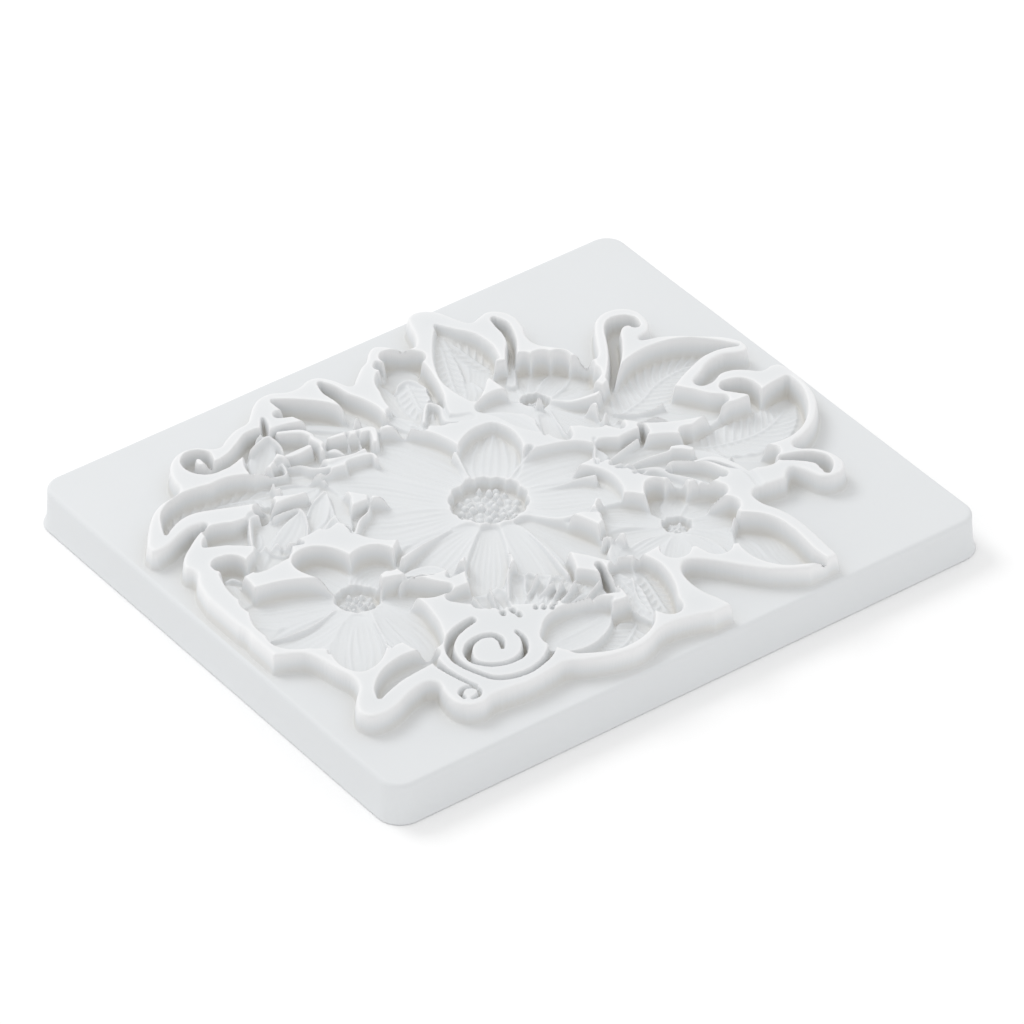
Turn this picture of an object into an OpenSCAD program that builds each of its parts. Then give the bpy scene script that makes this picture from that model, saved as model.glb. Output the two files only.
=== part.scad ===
// Silicone soap mould: a low slab with a raised contour wall around a floral ornament,
// the ornament sunk into the raised part as joined cavities.
// The mould is one casting. Each node is one named region of it, cut on upright planes,
// and the regions meet face to face.

/* [Slab] */
// length of the slab
slab_l = 120; // [118.8:0.2:126]
// width of the slab
slab_w = 102; // [101:0.2:108]
// thickness of the slab
slab_h = 7.4; // [6.5:0.1:10]
// radius of the upright corners
corner_r = 4.5; // [2:0.5:8]
// how much each upper side sits inside the foot
side_draft = 0.7; // [0.4:0.1:1]
// how far the foot flares out below the drafted side
foot_flare = 0.35; // [0.2:0.05:0.4]
// rounding of the slab's upper edge
edge_r = 0.8; // [0.4:0.1:1.2]

/* [Raised ornament] */
// height of the rim above the slab
rim_h = 3.8; // [3:0.1:5]
// how deep the ornament regions are seated in the slab
seat_d = 2.6; // [2.4:0.1:3.6]
// extra depth of every cavity
extra_depth = 0; // [0:0.05:0.4]
// steps on each stretch of a curved outline
curve_steps = 3; // [2:1:4]

/* [Hidden] */
rim_z = slab_h + rim_h;
seat_z = slab_h - seat_d;

// Outer edge of the rim, points on a closed smooth curve.
outline = [
  [-57.7, 20.6], [-56.4, 22.6], [-54.4, 25.2], [-51.8, 27.9], [-49, 29.5], [-46, 30.1], [-44.4, 30.8],
  [-44, 33], [-42.9, 35.8], [-40.8, 38.2], [-38, 39.3], [-35.4, 38.7], [-33.6, 37], [-32.2, 36.5],
  [-30.4, 37.6], [-27.8, 38.8], [-25.2, 39.2], [-23.6, 40.5], [-21.8, 42.3], [-19.6, 43.6],
  [-17, 43.6], [-14.6, 42.3], [-12.4, 42.1], [-10, 42.9], [-7.8, 42.2], [-6.2, 39.9], [-5.1, 37.2],
  [-3.4, 38.4], [-1.2, 40.2], [.8, 41.3], [2.4, 43], [4.2, 43.8], [6, 42.7], [7.8, 40.5],
  [9.7, 39.8], [11.2, 41.8], [12.2, 44.6], [13.2, 46.8], [15, 47.6], [17.4, 46.9], [19.2, 44.6],
  [20.3, 41.6], [21.4, 39.6], [23.2, 40], [25.4, 40.4], [27.6, 38.8], [28.5, 36.2], [28, 33],
  [26.8, 30.4], [26.8, 27.8], [28.4, 25.6], [30, 23.6], [30.4, 21], [31.4, 19], [32.6, 19.2],
  [34.3, 21.9], [36.3, 25], [38.4, 27.4], [41.3, 28.3], [44.3, 27.3], [45.9, 24.8], [45.6, 21.6],
  [44, 19.2], [41.4, 18.3], [44.4, 17.1], [47.4, 15.2], [50.3, 12.8], [53, 10.4], [54.6, 7.6],
  [54.2, 5.2], [52.6, 4.7], [49.6, 6.1], [46.6, 5.9], [43.9, 4.5], [41.4, 3.2], [41.6, 1.9],
  [43.6, 1.8], [46, 2.8], [48.6, 2.2], [50.5, .7], [52, -.8], [54, -.6], [55.7, -1.4], [56.3, -4.4],
  [56, -8.4], [55, -12], [53.1, -15], [50.2, -17.8], [47, -19.5], [43.9, -20.3], [43.9, -21.6],
  [46, -23.4], [47.4, -26.2], [47.4, -29.2], [45.8, -31.2], [43.4, -31.5], [41.4, -30.2],
  [40.5, -27.6], [39.5, -25.6], [38.3, -25.9], [36.8, -27.1], [34.2, -26.9], [31.6, -26.5],
  [30, -27.4], [30, -29.9], [31.1, -32.8], [31.8, -36.6], [31.7, -41], [31.3, -45.6], [30.9, -48.8],
  [29.4, -50], [26.4, -49.1], [22.9, -47.2], [19.6, -44.7], [16.9, -41.7], [14.8, -38.9],
  [12.6, -36.3], [10.4, -34.9], [8.6, -36.2], [7.8, -39.2], [8, -42.6], [9, -45.8], [9.3, -48.5],
  [7.4, -49.2], [4.6, -48], [1.6, -47], [-1.6, -46.4], [-4.2, -46.7], [-6.4, -47.6], [-9, -48.2],
  [-12, -47.9], [-15.2, -47], [-18.4, -45.6], [-21, -44.2], [-24, -44.5], [-28, -44.8],
  [-32, -44.3], [-35, -44], [-37.6, -44.6], [-40, -43.7], [-41.4, -41.4], [-41.2, -38.4],
  [-40.6, -36], [-42, -35], [-45.2, -35.6], [-48.4, -36.9], [-51.4, -37.4], [-54, -36.6],
  [-54.9, -34.2], [-53.4, -31.4], [-51.2, -29], [-50.6, -26.4], [-51.4, -23], [-52, -19.6],
  [-53.1, -17.2], [-56, -15.4], [-58.5, -14.2], [-59, -12.8], [-57.9, -9.8], [-57.2, -7],
  [-57.6, -3.8], [-57.8, 0], [-57.4, 4], [-56.4, 8], [-54.9, 10.8], [-55.6, 13], [-54.2, 15.4],
  [-51.6, 17.4], [-48.8, 19.2], [-46.2, 20.3], [-48.4, 20.9], [-51, 20.2], [-54, 19.1], [-56.7, 18.9]];

// Cavity strokes: region, depth below the rim, then points of the centre line,
// each with the half width of the stroke there.
strokes = [
  ["left_leaves", 4.1, [[-52.8, 22, .1], [-51, 24, .9], [-48.5, 25.9, 1.9], [-45, 26.6, 2.7],
    [-41, 25.6, 3.2], [-37, 23.8, 3.2], [-34, 22.2, 2.6]]],
  ["left_leaves", 3.4, [[-49.6, 15.6, .2], [-47.8, 16, 1.4], [-45.3, 15.8, 2.3], [-42.8, 15.2, 2.7],
    [-40.2, 14.6, 2.8], [-37.5, 14.2, 2.2]]],

  ["upper_left_scroll", 3.4, [[-36, 34, .7], [-35.8, 36, 1], [-37.3, 37, 1.1], [-38.8, 35.9, 1.1],
    [-38.9, 33.8, 1], [-37.4, 32.3, 1.2], [-34.8, 32, 1.2], [-31.8, 32.7, 1.1], [-29, 34, 1.2],
    [-26.6, 35.6, .9], [-24.6, 35.9, .5]]],
  ["upper_left_scroll", 3, [[-25.2, 33.6, .8], [-26.6, 32.3, 2.2], [-28.6, 30.4, 2.3],
    [-30.4, 28.5, 1.7], [-32, 27.2, .4]]],
  ["upper_left_scroll", 2.4, [[-22.2, 38.2, .2], [-22.9, 36.8, .5], [-23.9, 35.2, .7]]],

  ["rose", 2.2, [[-30.6, 25.2, 1.2], [-26, 26.2, 4], [-20.4, 26.8, 5.4], [-15, 25.8, 4.6],
    [-11.8, 24.8, 1.6]]],
  ["rose", 3.2, [[-23.4, 33, .6], [-21.5, 32.6, 1.9], [-18.8, 31.3, 2.2], [-16, 29.6, 2],
    [-13.5, 27.6, 1.6], [-11.8, 25.8, .6]]],
  ["rose", 3.4, [[-32.4, 24.9, .3], [-29.6, 26, 1.5], [-26.6, 27.2, 2.3], [-23.8, 28.2, 2],
    [-21.6, 28.8, 1]]],
  ["rose", 2.8, [[-24.6, 24.8, .5], [-22.4, 26.2, 1.9], [-20.4, 28, 1.8], [-18.9, 29.4, .8]]],
  ["rose", 3.8, [[-21.6, 23, .8], [-19.4, 22.8, 1.7], [-16.8, 22.9, 2], [-14.4, 23.8, 1.8],
    [-12.9, 25.4, .8]]],
  ["rose", 4.4, [[-19.2, 25.8, 1.2], [-17.4, 26.4, 2], [-15.4, 26.8, 1.4]]],
  ["rose", 3.2, [[-33, 23.6, .3], [-30.6, 22.4, 1.8], [-27.8, 21, 2.2], [-25, 19.8, 1.4],
    [-22.6, 19.2, .4]]],

  ["back_leaves", 4.2, [[-18, 41.2, .3], [-16.6, 38.6, 1.6], [-15, 35.8, 2.6], [-13.3, 33, 3],
    [-11.8, 30.5, 2], [-11, 28.5, .8]]],
  ["back_leaves", 3.6, [[-8.9, 40.4, .4], [-8.7, 38, 1.2], [-8.3, 35, 1.3], [-7.8, 32, 1.9],
    [-7.3, 29, 2], [-7.2, 26, 1.4]]],

  ["bud_sprig", 4, [[4.7, 39.8, 1.5], [6.5, 38.5, 1.9], [8.2, 36.9, 1.5]]],
  ["bud_sprig", 3.4, [[5.2, 36.7, 3], [3.7, 33.9, 4.2], [1.6, 28.8, 4.8], [.5, 23.8, 3.6],
    [1.2, 20.5, 1.8]]],
  ["bud_sprig", 3, [[.5, 36.6, .5], [-.1, 33.7, 1.7], [-1.2, 28.5, 1.5]]],
  ["bud_sprig", 2.8, [[4.3, 34.7, 1], [3.7, 32.3, 2.5], [2.3, 28.3, 2.6], [1.3, 24.5, 1.4]]],
  ["bud_sprig", 2.2, [[-3.8, 26.6, 1.2], [-2.9, 24, 2], [-2.3, 20.3, .8]]],
  ["bud_sprig", 2.5, [[-1.8, 24.1, .6], [.7, 21.2, 1.4], [3.1, 19, 1]]],

  ["top_leaf", 3.4, [[25, 37.6, .5], [25.1, 35.5, 1], [24.6, 33.2, .8], [23.6, 30.8, .7],
    [22, 28.7, .8], [20.3, 26.3, .9], [19, 24.6, 1]]],
  ["top_leaf", 3.2, [[16, 41.9, .3], [16.2, 38.2, 2], [16.1, 34.2, 4], [14.2, 30.5, 4.6],
    [11, 26.9, 3.4], [9, 21.7, .8]]],
  ["top_leaf", 3.5, [[18.7, 28.8, .5], [18.2, 32.5, 2], [17.4, 36.3, 1.8], [16.5, 39.8, .4]]],
  ["top_leaf", 2.8, [[15.2, 40.5, .4], [13.8, 36.9, 1.6], [11.8, 32.5, 2.4], [9.8, 28, 2.2],
    [8.9, 24.4, .8]]],
  ["top_leaf", 3.1, [[13.3, 28.7, 1], [12.2, 25.7, 1.8], [9.5, 22.7, 1.4]]],

  ["upper_flower", 3.8, [[17.1, 24.6, 2.4], [18.9, 20.8, 3.8], [21.7, 18.2, 4.4], [25.2, 16.6, 3.8],
    [28.2, 16.1, 2.4]]],
  ["upper_flower", 2.7, [[14.9, 14.7, 2], [16.8, 11.7, 3.4], [19.3, 8.7, 3.4], [21.2, 6.4, 2.2]]],
  ["upper_flower", 2.6, [[9.8, 19.5, 1.2], [12.9, 18.9, 2.2], [15.3, 16.9, 2.6]]],
  ["upper_flower", 1.3, [[9, 18.5, 1.6], [11.2, 15.9, 2.2], [12.4, 12, 2.4], [12.7, 8.8, 1.2]]],
  ["upper_flower", 1.6, [[20.3, 25.5, 1.2], [22.4, 24, 1.2]]],
  ["upper_flower", 4, [[18.1, 19, 1.5], [18.6, 23.2, 2.8], [17.6, 25.2, 2.4], [16.3, 26.4, .8]]],
  ["upper_flower", 4.3, [[19.1, 18.8, 1.5], [21.5, 23.6, 2.2], [22.2, 25.6, 1.7]]],
  ["upper_flower", 4.5, [[20.7, 17.6, 1.5], [26.1, 19.2, 2.4], [29, 18.9, 2], [29.4, 17.7, 1.4]]],
  ["upper_flower", 4.5, [[19.7, 18.7, 1.5], [23.5, 22.4, 2.4], [24.9, 24, 2]]],
  ["upper_flower", 4.5, [[20.2, 18.1, 1.5], [25, 21.3, 2.4], [27.1, 22.3, 2]]],
  ["upper_flower", 3.7, [[20.4, 15.8, 1.2], [23.1, 13.8, 2.4], [25.4, 11.3, 2.8],
    [26.5, 9.6, 1.6]]],
  ["upper_flower", 3.3, [[19, 13.9, 1.4], [20, 10.4, 2.8], [21.2, 6.4, 2.8], [21.4, 4.2, 1.6]]],
  ["upper_flower", 2.9, [[16.8, 13, 1.2], [15.7, 9.5, 2], [15, 5.8, 1.8], [14.9, 3.9, .8]]],
  ["upper_flower", 5.7, [[18.7, 18.6, 2], [19.5, 18.6, 2.3], [20.3, 18.6, 2]]],

  ["cane_scroll", 3.6, [[30.6, 12.6, .6], [33, 14.8, .8], [35.3, 17.4, 1], [37.3, 20.3, 1.1],
    [38.9, 22.9, 1.2], [40.8, 24.3, 1.5], [42.8, 23.6, 1.2], [43, 22, .7]]],

  ["right_leaf", 3.7, [[26.1, 6.7, 1.4], [29.5, 5.1, 2.9], [33.4, 3.3, 3.4], [36.6, .6, 2.8],
    [40.5, -1.8, 1.2]]],
  ["right_leaf", 3.1, [[24.9, 4.4, .8], [28.5, 1, 1.3], [32.9, -1.5, 1.3], [37.2, -3.4, .8]]],
  ["right_leaf", 4.2, [[25.5, 6.5, 1.6], [29.5, 7.4, 4], [34, 8.4, 5], [38, 10.2, 5],
    [42, 11.1, 4.3], [46, 11, 3], [50, 9.3, 1.3], [53.2, 6.9, .1]]],

  ["right_scroll", 4.2, [[44.9, -1.2, 1.4], [46.5, -2.4, 1.9], [47.3, -4.6, 1.3], [46.6, -6.9, .8],
    [44.9, -8.6, .7], [42.6, -9, .5]]],

  ["lower_right_leaf", 4.2, [[31.8, -6.9, 1.2], [33.5, -8.9, 2.6], [36.7, -10.1, 4.4], [40.3, -11, 6],
    [43.7, -12, 6.3], [47.5, -10.9, 5], [51.3, -8.1, 3], [53.9, -5.5, .6]]],
  ["lower_right_leaf", 3.9, [[33.3, -7.1, .8], [36.5, -8.4, 1.8], [40, -9.2, 2.6],
    [43.5, -9.5, 2.8]]],

  ["lower_right_hook", 3.4, [[39.7, -22.3, .5], [41.6, -23.3, .9], [43.3, -24.6, 1.2],
    [44.5, -26.3, 1.3], [44.3, -28, 1.1], [43.4, -29.6, .4]]],
  ["lower_right_hook", 3.6, [[33.4, -16.4, .6], [34.8, -18.2, 2.1], [36.5, -20, 2.3],
    [38, -21.3, 1.2]]],

  ["right_sprig", 2.7, [[18.4, -2.7, 2.6], [22, -6.3, 3.6], [27.1, -9, 3.6], [31.6, -13.3, 3],
    [33.2, -18, 2.2], [34.4, -20.5, 1.2]]],
  ["right_sprig", 2.3, [[20.2, -11.3, 1.6], [24.1, -15.1, 1.8], [27.4, -18.8, 1.4]]],
  ["right_sprig", 3.7, [[22.7, 4.3, 1], [23.6, 3.1, 1.5], [23.9, 1, .8]]],
  ["right_sprig", 1.7, [[17.8, -.8, .5], [17.6, -2.5, 1.2], [16.5, -4.3, .8]]],
  ["right_sprig", 2.8, [[17.3, -4.3, .5], [21.7, -3.2, 1.4], [25.1, -2.8, 1.2]]],
  ["right_sprig", 2.8, [[16.6, -6.6, .5], [21.1, -6.1, 1.3], [25.1, -6.3, 1.2], [27.6, -7.7, .6]]],
  ["right_sprig", 2.7, [[18.5, -9.5, .5], [22, -10.3, 1.4], [24.4, -11.2, .7]]],
  ["right_sprig", 2.7, [[24.6, -12.9, .5], [27.6, -15.8, 1.1], [29.3, -19.7, .8]]],
  ["right_sprig", 3.6, [[35.4, -15.6, 1], [37.6, -17.7, 1.6], [39.5, -19.7, 1.3]]],

  ["right_flower", 3.4, [[9.3, -18.2, 3], [12.2, -21.8, 5.4], [15.6, -25.4, 6.6],
    [19.2, -28.8, 5.6], [21.6, -31.6, 3.6]]],
  ["right_flower", 4.1, [[17.7, -19.9, 1.4], [18, -17.5, 2.2], [18.7, -15.7, 1.8]]],
  ["right_flower", 4.2, [[19.8, -20.6, 1.4], [22.2, -20.9, 2.4], [24.4, -21.3, 2.3],
    [25.9, -22.7, 1.6]]],
  ["right_flower", 4.1, [[18.7, -20.1, 1.4], [20.1, -18.3, 2.2], [21.5, -17.4, 1.9]]],
  ["right_flower", 4, [[19.4, -23.9, 1.2], [22, -25.1, 2.3], [24.8, -26.8, 2]]],
  ["right_flower", 3.6, [[17.9, -25.8, 1.2], [19.1, -28.9, 2.8], [20.3, -32.6, 3],
    [21.2, -34.5, 1.6]]],
  ["right_flower", 3.4, [[15.4, -20.9, 1.2], [13.2, -17.8, 2.5], [10.3, -15.5, 2.5],
    [8.4, -15, 1]]],
  ["right_flower", 3.9, [[14.5, -22.8, 1.2], [11.4, -21.5, 2], [7.7, -20.3, 2.3], [5.6, -19.4, 1]]],
  ["right_flower", 3.4, [[14, -24.8, 1.2], [10.2, -25.5, 2.8], [6.3, -26.2, 2.8]]],
  ["right_flower", 3.4, [[16.6, -26.8, 1.2], [16.8, -30.5, 2.8], [16.9, -34.3, 2.4]]],
  ["right_flower", 3.6, [[15.3, -25.9, 1.2], [13.3, -28.4, 2.6], [10.9, -31, 2.4]]],
  ["right_flower", 5.4, [[17, -22.4, 2], [17.8, -22.4, 2.3], [18.6, -22.4, 2]]],

  ["bottom_right_leaf", 4.2, [[24.5, -31.5, 1.6], [24.9, -35, 3.7], [24.4, -38.5, 4.7],
    [24.8, -41.8, 4], [26.3, -44.9, 2.2], [28.6, -48.4, .1]]],

  ["bottom_leaf", 4.1, [[-17.4, -37.6, 3], [-15, -39.6, 4.2], [-11.1, -41.1, 5.2],
    [-6.8, -40.8, 4.6], [-3.4, -39.3, 2.4]]],
  ["bottom_leaf", 3, [[1.4, -30, 2.6], [1.1, -34.4, 3.4], [.7, -38.9, 3], [1, -42.5, 2]]],
  ["bottom_leaf", 4.4, [[-1.6, -37.4, .8], [-3.9, -39.6, 2.8], [-7.5, -41.8, 3.6],
    [-12.1, -42.5, 3.4], [-16.6, -41.8, 2]]],
  ["bottom_leaf", 2.8, [[-18.2, -37.3, 2], [-14.2, -36.6, 4.2], [-9.6, -35.9, 3.2],
    [-6.2, -35.4, .8]]],
  ["bottom_leaf", 3.6, [[4.5, -29.9, 1.2], [4.1, -33.2, 2.2], [3.1, -37.1, 2.2],
    [2.2, -40.9, 1.2]]],
  ["bottom_leaf", 2.8, [[.5, -29.1, 1], [.1, -33.1, 2], [-.9, -37, 1.8], [-1.1, -40.5, .8]]],
  ["bottom_leaf", 2.9, [[5.2, -22.2, .8], [4.4, -24, 1.8], [3.9, -25.9, 1.8]]],
  ["bottom_leaf", 3, [[7.6, -24.5, .8], [6.8, -25.9, 1.6], [4.9, -26.7, 1.4]]],

  ["aster", 2.8, [[-25, -19.5, 1.4], [-21.3, -21.3, 3], [-17, -23.5, 3.8], [-12.1, -26.4, 3.8],
    [-6.8, -28.7, 3.2], [-3.4, -31.6, 1.6]]],
  ["aster", 3.2, [[-20.6, -26.4, .5], [-21.3, -24.5, 1.2], [-22.7, -23.6, 1.3],
    [-23.7, -23.9, .3]]],
  ["aster", 3.4, [[-20.2, -25.2, .5], [-19.9, -22.5, 1.4], [-20.3, -20.6, 1.5],
    [-21.1, -20.8, .3]]],
  ["aster", 3.4, [[-18.2, -25.1, .5], [-17.2, -22, 1.1], [-17.1, -20, 1.2], [-17.5, -19.8, .3]]],
  ["aster", 3.3, [[-17.1, -25, .5], [-15.5, -22.2, 1.1], [-14.4, -20.1, 1.2], [-14.7, -20.3, .3]]],
  ["aster", 3.3, [[-15.6, -25, .5], [-13.5, -21.8, 1.4], [-12.3, -19.6, 1.5], [-12.3, -19.4, .3]]],
  ["aster", 3.5, [[-14, -25, .5], [-11.7, -22.1, 1.1], [-10, -20.2, 1.2], [-10, -20.3, .3]]],
  ["aster", 3.2, [[-13.1, -26.4, .5], [-10.5, -23.5, 1.1], [-8.5, -21.6, 1.2], [-8.3, -21.6, .3]]],
  ["aster", 3.4, [[-11.8, -27, .5], [-9.2, -24.7, 1], [-7.1, -23.2, 1.1], [-7.1, -23.5, .3]]],
  ["aster", 3.4, [[-11.1, -28.1, .5], [-8.4, -26.3, 1.1], [-6.5, -25.6, 1.2], [-6.2, -25.9, .3]]],
  ["aster", 3.3, [[-11.5, -29.6, .5], [-8.4, -28.2, 1], [-5.8, -27.5, 1.1], [-5.6, -28.1, .3]]],
  ["aster", 3.3, [[-11.6, -30.5, .5], [-8, -30.1, 1.1], [-5.2, -30.7, 1.2], [-4.7, -31.5, .3]]],
  ["aster", 3.5, [[-11.7, -31.3, .5], [-7.5, -31.7, 1], [-3.9, -33, 1.1], [-3.3, -34.3, .3]]],
  ["aster", 3.9, [[-1.6, -26.9, .5], [-2.1, -29.5, .6], [-2.8, -32.2, .4]]],

  ["spiral", 2.8, [[-26.8, -34.9, .2], [-25.9, -33.2, .4], [-26.2, -31.5, .4], [-28, -30.6, .4],
    [-30.3, -31, .5], [-32, -32.6, .6], [-32.6, -34.6, .4], [-32, -36.2, .3], [-30.5, -37.7, .3],
    [-28, -38.6, .3], [-25.5, -38.3, .4], [-23.7, -36.8, .4], [-22.7, -34.8, .3],
    [-22.6, -33, .2]]],
  ["spiral", 2.8, [[-26.6, -26.3, .6], [-29, -26.7, .7], [-31.5, -27.7, .7], [-33.6, -29.8, .6],
    [-34.6, -32.5, .5], [-34.5, -35.3, .3], [-33.5, -38.3, .3], [-32.3, -40.5, .3],
    [-30, -41.8, .4], [-27, -42.3, .3], [-24, -41.7, .3], [-21.5, -40.5, .5], [-19.5, -38.4, .5],
    [-18, -36, .3]]],
  ["spiral", 2.4, [[-36, -40.2, .2], [-36.8, -37.5, .2], [-37.4, -34.5, .3], [-37.5, -32, .5],
    [-36.9, -30.2, .3]]],
  ["spiral", 2, [[-39.2, -41.6, .2], [-39, -40.2, .3], [-37.8, -39.6, .25], [-36.5, -40.2, .2],
    [-36.2, -41.4, .25], [-37, -42.3, .3], [-38.2, -42.4, .2]]],

  ["lower_left_leaf", 3.2, [[-51.6, -35.8, .1], [-49.8, -33.4, 1.3], [-46.6, -31.4, 1.9],
    [-43, -30.3, 2], [-39.8, -30, 1.5], [-37.6, -30.1, .7]]],

  ["left_flower", 2.4, [[-49, -9, 3], [-43.5, -9.6, 6], [-37.5, -10.6, 8.4], [-32.4, -11.6, 6.4],
    [-28, -12.6, 3]]],
  ["left_flower", 2.4, [[-42, -18, 4], [-37.5, -19.5, 4.6], [-33, -19, 3.6], [-30, -17, 2]]],
  ["left_flower", 3.4, [[-40, -8.8, 2], [-44, -9.5, 3.4], [-48, -10.3, 3.9], [-52, -11.1, 3.1],
    [-56.4, -12.4, .2]]],
  ["left_flower", 3.4, [[-39.5, -6, 2], [-42.5, -4.2, 3.2], [-46, -2.8, 3], [-49, -1.9, 2],
    [-51.5, -1.3, .6]]],
  ["left_flower", 3.6, [[-37, -4.5, 2], [-37.8, -1.5, 3], [-38.4, 1, 2.6], [-38.8, 3.4, .6]]],
  ["left_flower", 3.6, [[-34.5, -6.3, 2], [-32.2, -4.8, 2.9], [-29.8, -3.8, 2.8],
    [-27.4, -2.8, 1.2]]],
  ["left_flower", 3.6, [[-34, -11, 2], [-31.5, -13, 3], [-29, -15.2, 2.8], [-26.8, -17.2, 1.6],
    [-25.3, -18.8, .3]]],
  ["left_flower", 3.4, [[-33.8, -12.6, 1.8], [-32.4, -16, 2.7], [-31.8, -19.4, 2.2],
    [-32.6, -23, .5]]],
  ["left_flower", 3.4, [[-36.3, -12.8, 2], [-36.2, -16.5, 3], [-36.5, -20.5, 3], [-37, -24.2, 2],
    [-37, -27.6, .5]]],
  ["left_flower", 3.2, [[-39, -12, 2], [-41.5, -15.5, 3.1], [-43.8, -19, 3.7], [-46, -22.1, 3],
    [-48.4, -24.9, .6]]],
  ["left_flower", 5.2, [[-38.4, -9.2, 2.3], [-36.7, -8.9, 3], [-35, -8.6, 2.3]]],

  ["left_eye", 4.1, [[-51.4, 9, 1.8], [-49.8, 8.5, 2.2], [-48.3, 6.9, 1.5], [-47.6, 5, .7]]],
  ["left_eye", 2, [[-52.9, 1, .2], [-52.3, 2.2, .3], [-50, 3, .3], [-46.4, 3.5, .35],
    [-43.4, 4, .3]]],

  ["left_buds", 2.2, [[-46.4, 9.6, .8], [-42, 11.4, 3.6], [-37, 12, 5.8], [-31, 12, 7],
    [-26, 12, 5], [-22.5, 12.5, 2]]],
  ["left_buds", 3, [[-45.3, 7.6, .2], [-43, 9.3, 1.2], [-40, 11.2, 1.5], [-37, 12.8, 1]]],
  ["left_buds", 3, [[-41.3, 7, .2], [-38.5, 9, 1.4], [-35, 11.2, 1.8], [-31.5, 13, 1.3]]],
  ["left_buds", 3.2, [[-37.2, 5.6, .2], [-35, 7.3, 1.6], [-32, 9.5, 2], [-28.5, 11.5, 1.4]]],
  ["left_buds", 3, [[-32.6, 4.6, .2], [-30.4, 6.5, 1.4], [-28, 8.7, 1.6], [-25.8, 10.8, 1]]],
  ["left_buds", 3, [[-38.4, 17.6, .3], [-35, 17.4, 1.5], [-31.5, 16.8, 1.9], [-28, 15.8, 1.4],
    [-25, 15.2, .5]]],

  ["main_flower", 2.6, [[-15.6, 17.7, 3.4], [-10.6, 12, 7], [-7.3, 3.3, 10], [-3.4, -3.9, 9.6],
    [1.9, -6.4, 6.4], [5.3, -10, 4]]],
  ["main_flower", 3.1, [[-3.6, 5.6, 2.4], [-5, 10.7, 4.2], [-7.1, 15.5, 5.4], [-9, 19.2, 4.6],
    [-10.5, 21.7, 2]]],
  ["main_flower", 2.8, [[1.6, 1.5, 2], [6.1, 1.4, 3.2], [10, .4, 3.4], [13.4, -.5, 3],
    [16.1, -1.2, 1.4]]],
  ["main_flower", 2.9, [[-.5, 4.3, 3.6], [2.3, 7.9, 5], [4.6, 10.9, 5.5], [6.5, 13.2, 4.2],
    [7.8, 14.7, 2.2], [8.9, 16.2, .2]]],
  ["main_flower", 2.9, [[-8.9, 3.9, 2.6], [-11.9, 7.5, 3.8], [-15.9, 12.5, 4.4], [-19.5, 15.8, 3.6],
    [-22.6, 18.5, 1.6]]],
  ["main_flower", 4, [[-2.5, -8.7, 2.4], [-1, -14.2, 3.8], [.3, -18.6, 4.2], [1.4, -22.2, 3.2],
    [1.3, -26.1, 1.2]]],
  ["main_flower", 2.9, [[2.1, -3.3, 3], [4.7, -5.3, 4.4], [7.7, -6.7, 4.9], [10.4, -8.7, 4],
    [11.8, -11.5, 2.4], [12.9, -13.8, .4]]],
  ["main_flower", 3.1, [[-11.2, .8, 2.4], [-16, 1.8, 4.6], [-20.5, 3.2, 5.8], [-23.3, 5, 4.8],
    [-24.7, 6.1, 3]]],
  ["main_flower", 3.3, [[-5.1, -8.1, 2.2], [-6, -13.5, 3.6], [-7.6, -19.7, 4.4], [-9.3, -25, 3.8],
    [-10.4, -28.2, 1.8]]],
  ["main_flower", 3.4, [[-10.8, -4.2, 2], [-15.7, -5.4, 4], [-20.2, -6.8, 5.6], [-23.3, -8.2, 4.6],
    [-25.2, -8.8, 2.4]]],
  ["main_flower", 3.8, [[-8.1, -6.1, 1.8], [-11.3, -10.2, 2.9], [-14.6, -14.3, 3.6],
    [-18, -18.6, 3], [-19.2, -20.1, 1.8]]],
  ["main_flower", 5.4, [[-5.5, .7, 5.4], [-3.3, .7, 6.1], [-1.1, .7, 5.4]]],
  ["main_flower", 2.1, [[-27.1, -8.7, .8], [-24.4, -9, 1.6], [-22.2, -10.1, 1.6],
    [-21.2, -12.6, .8]]],
  ["main_flower", 2.1, [[-22.4, -14.6, .6], [-20.1, -13.8, 1.3], [-19.1, -14.1, .8]]]];

// Middle of each region and the weight that sets how far it reaches.
seeds = [
  ["left_leaves", -47, 20, 0], ["upper_left_scroll", -34, 33, 0], ["rose", -20, 27, 10],
  ["back_leaves", -12.5, 38, 20], ["bud_sprig", 1, 30, 40], ["top_leaf", 15, 36, 60],
  ["upper_flower", 19, 15, 85], ["cane_scroll", 41.5, 25, 0], ["right_leaf", 44, 9, 40],
  ["right_scroll", 47, -4, 0], ["lower_right_leaf", 45, -14, 0], ["lower_right_hook", 41, -26, 0],
  ["right_sprig", 24, -9, 30], ["right_flower", 16, -24, 70], ["bottom_right_leaf", 26, -42, 55],
  ["bottom_leaf", 1, -42, 60], ["aster", -12, -30, 10], ["spiral", -28, -35, 50],
  ["lower_left_leaf", -47, -34, 0], ["left_flower", -39, -11, 115], ["left_eye", -51.5, 6, 0],
  ["left_buds", -36, 12, 20], ["main_flower", -5, 0, 260]];

// Smooth curve through four neighbouring points.
function blend(a, b, c, d, t) =
  0.5 * (2 * b + (c - a) * t + (2 * a - 5 * b + 4 * c - d) * t * t
    + (3 * b - a - 3 * c + d) * t * t * t);

function closed_curve(p, k) =
  [for (i = [0:len(p) - 1], j = [0:k - 1])
    blend(p[(i + len(p) - 1) % len(p)], p[i], p[(i + 1) % len(p)], p[(i + 2) % len(p)], j / k)];

function open_curve(p, k) =
  [for (i = [0:len(p) - 2], j = [0:(i == len(p) - 2 ? k : k - 1)])
    blend(p[max(i - 1, 0)], p[i], p[i + 1], p[min(i + 2, len(p) - 1)], j / k)];

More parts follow.
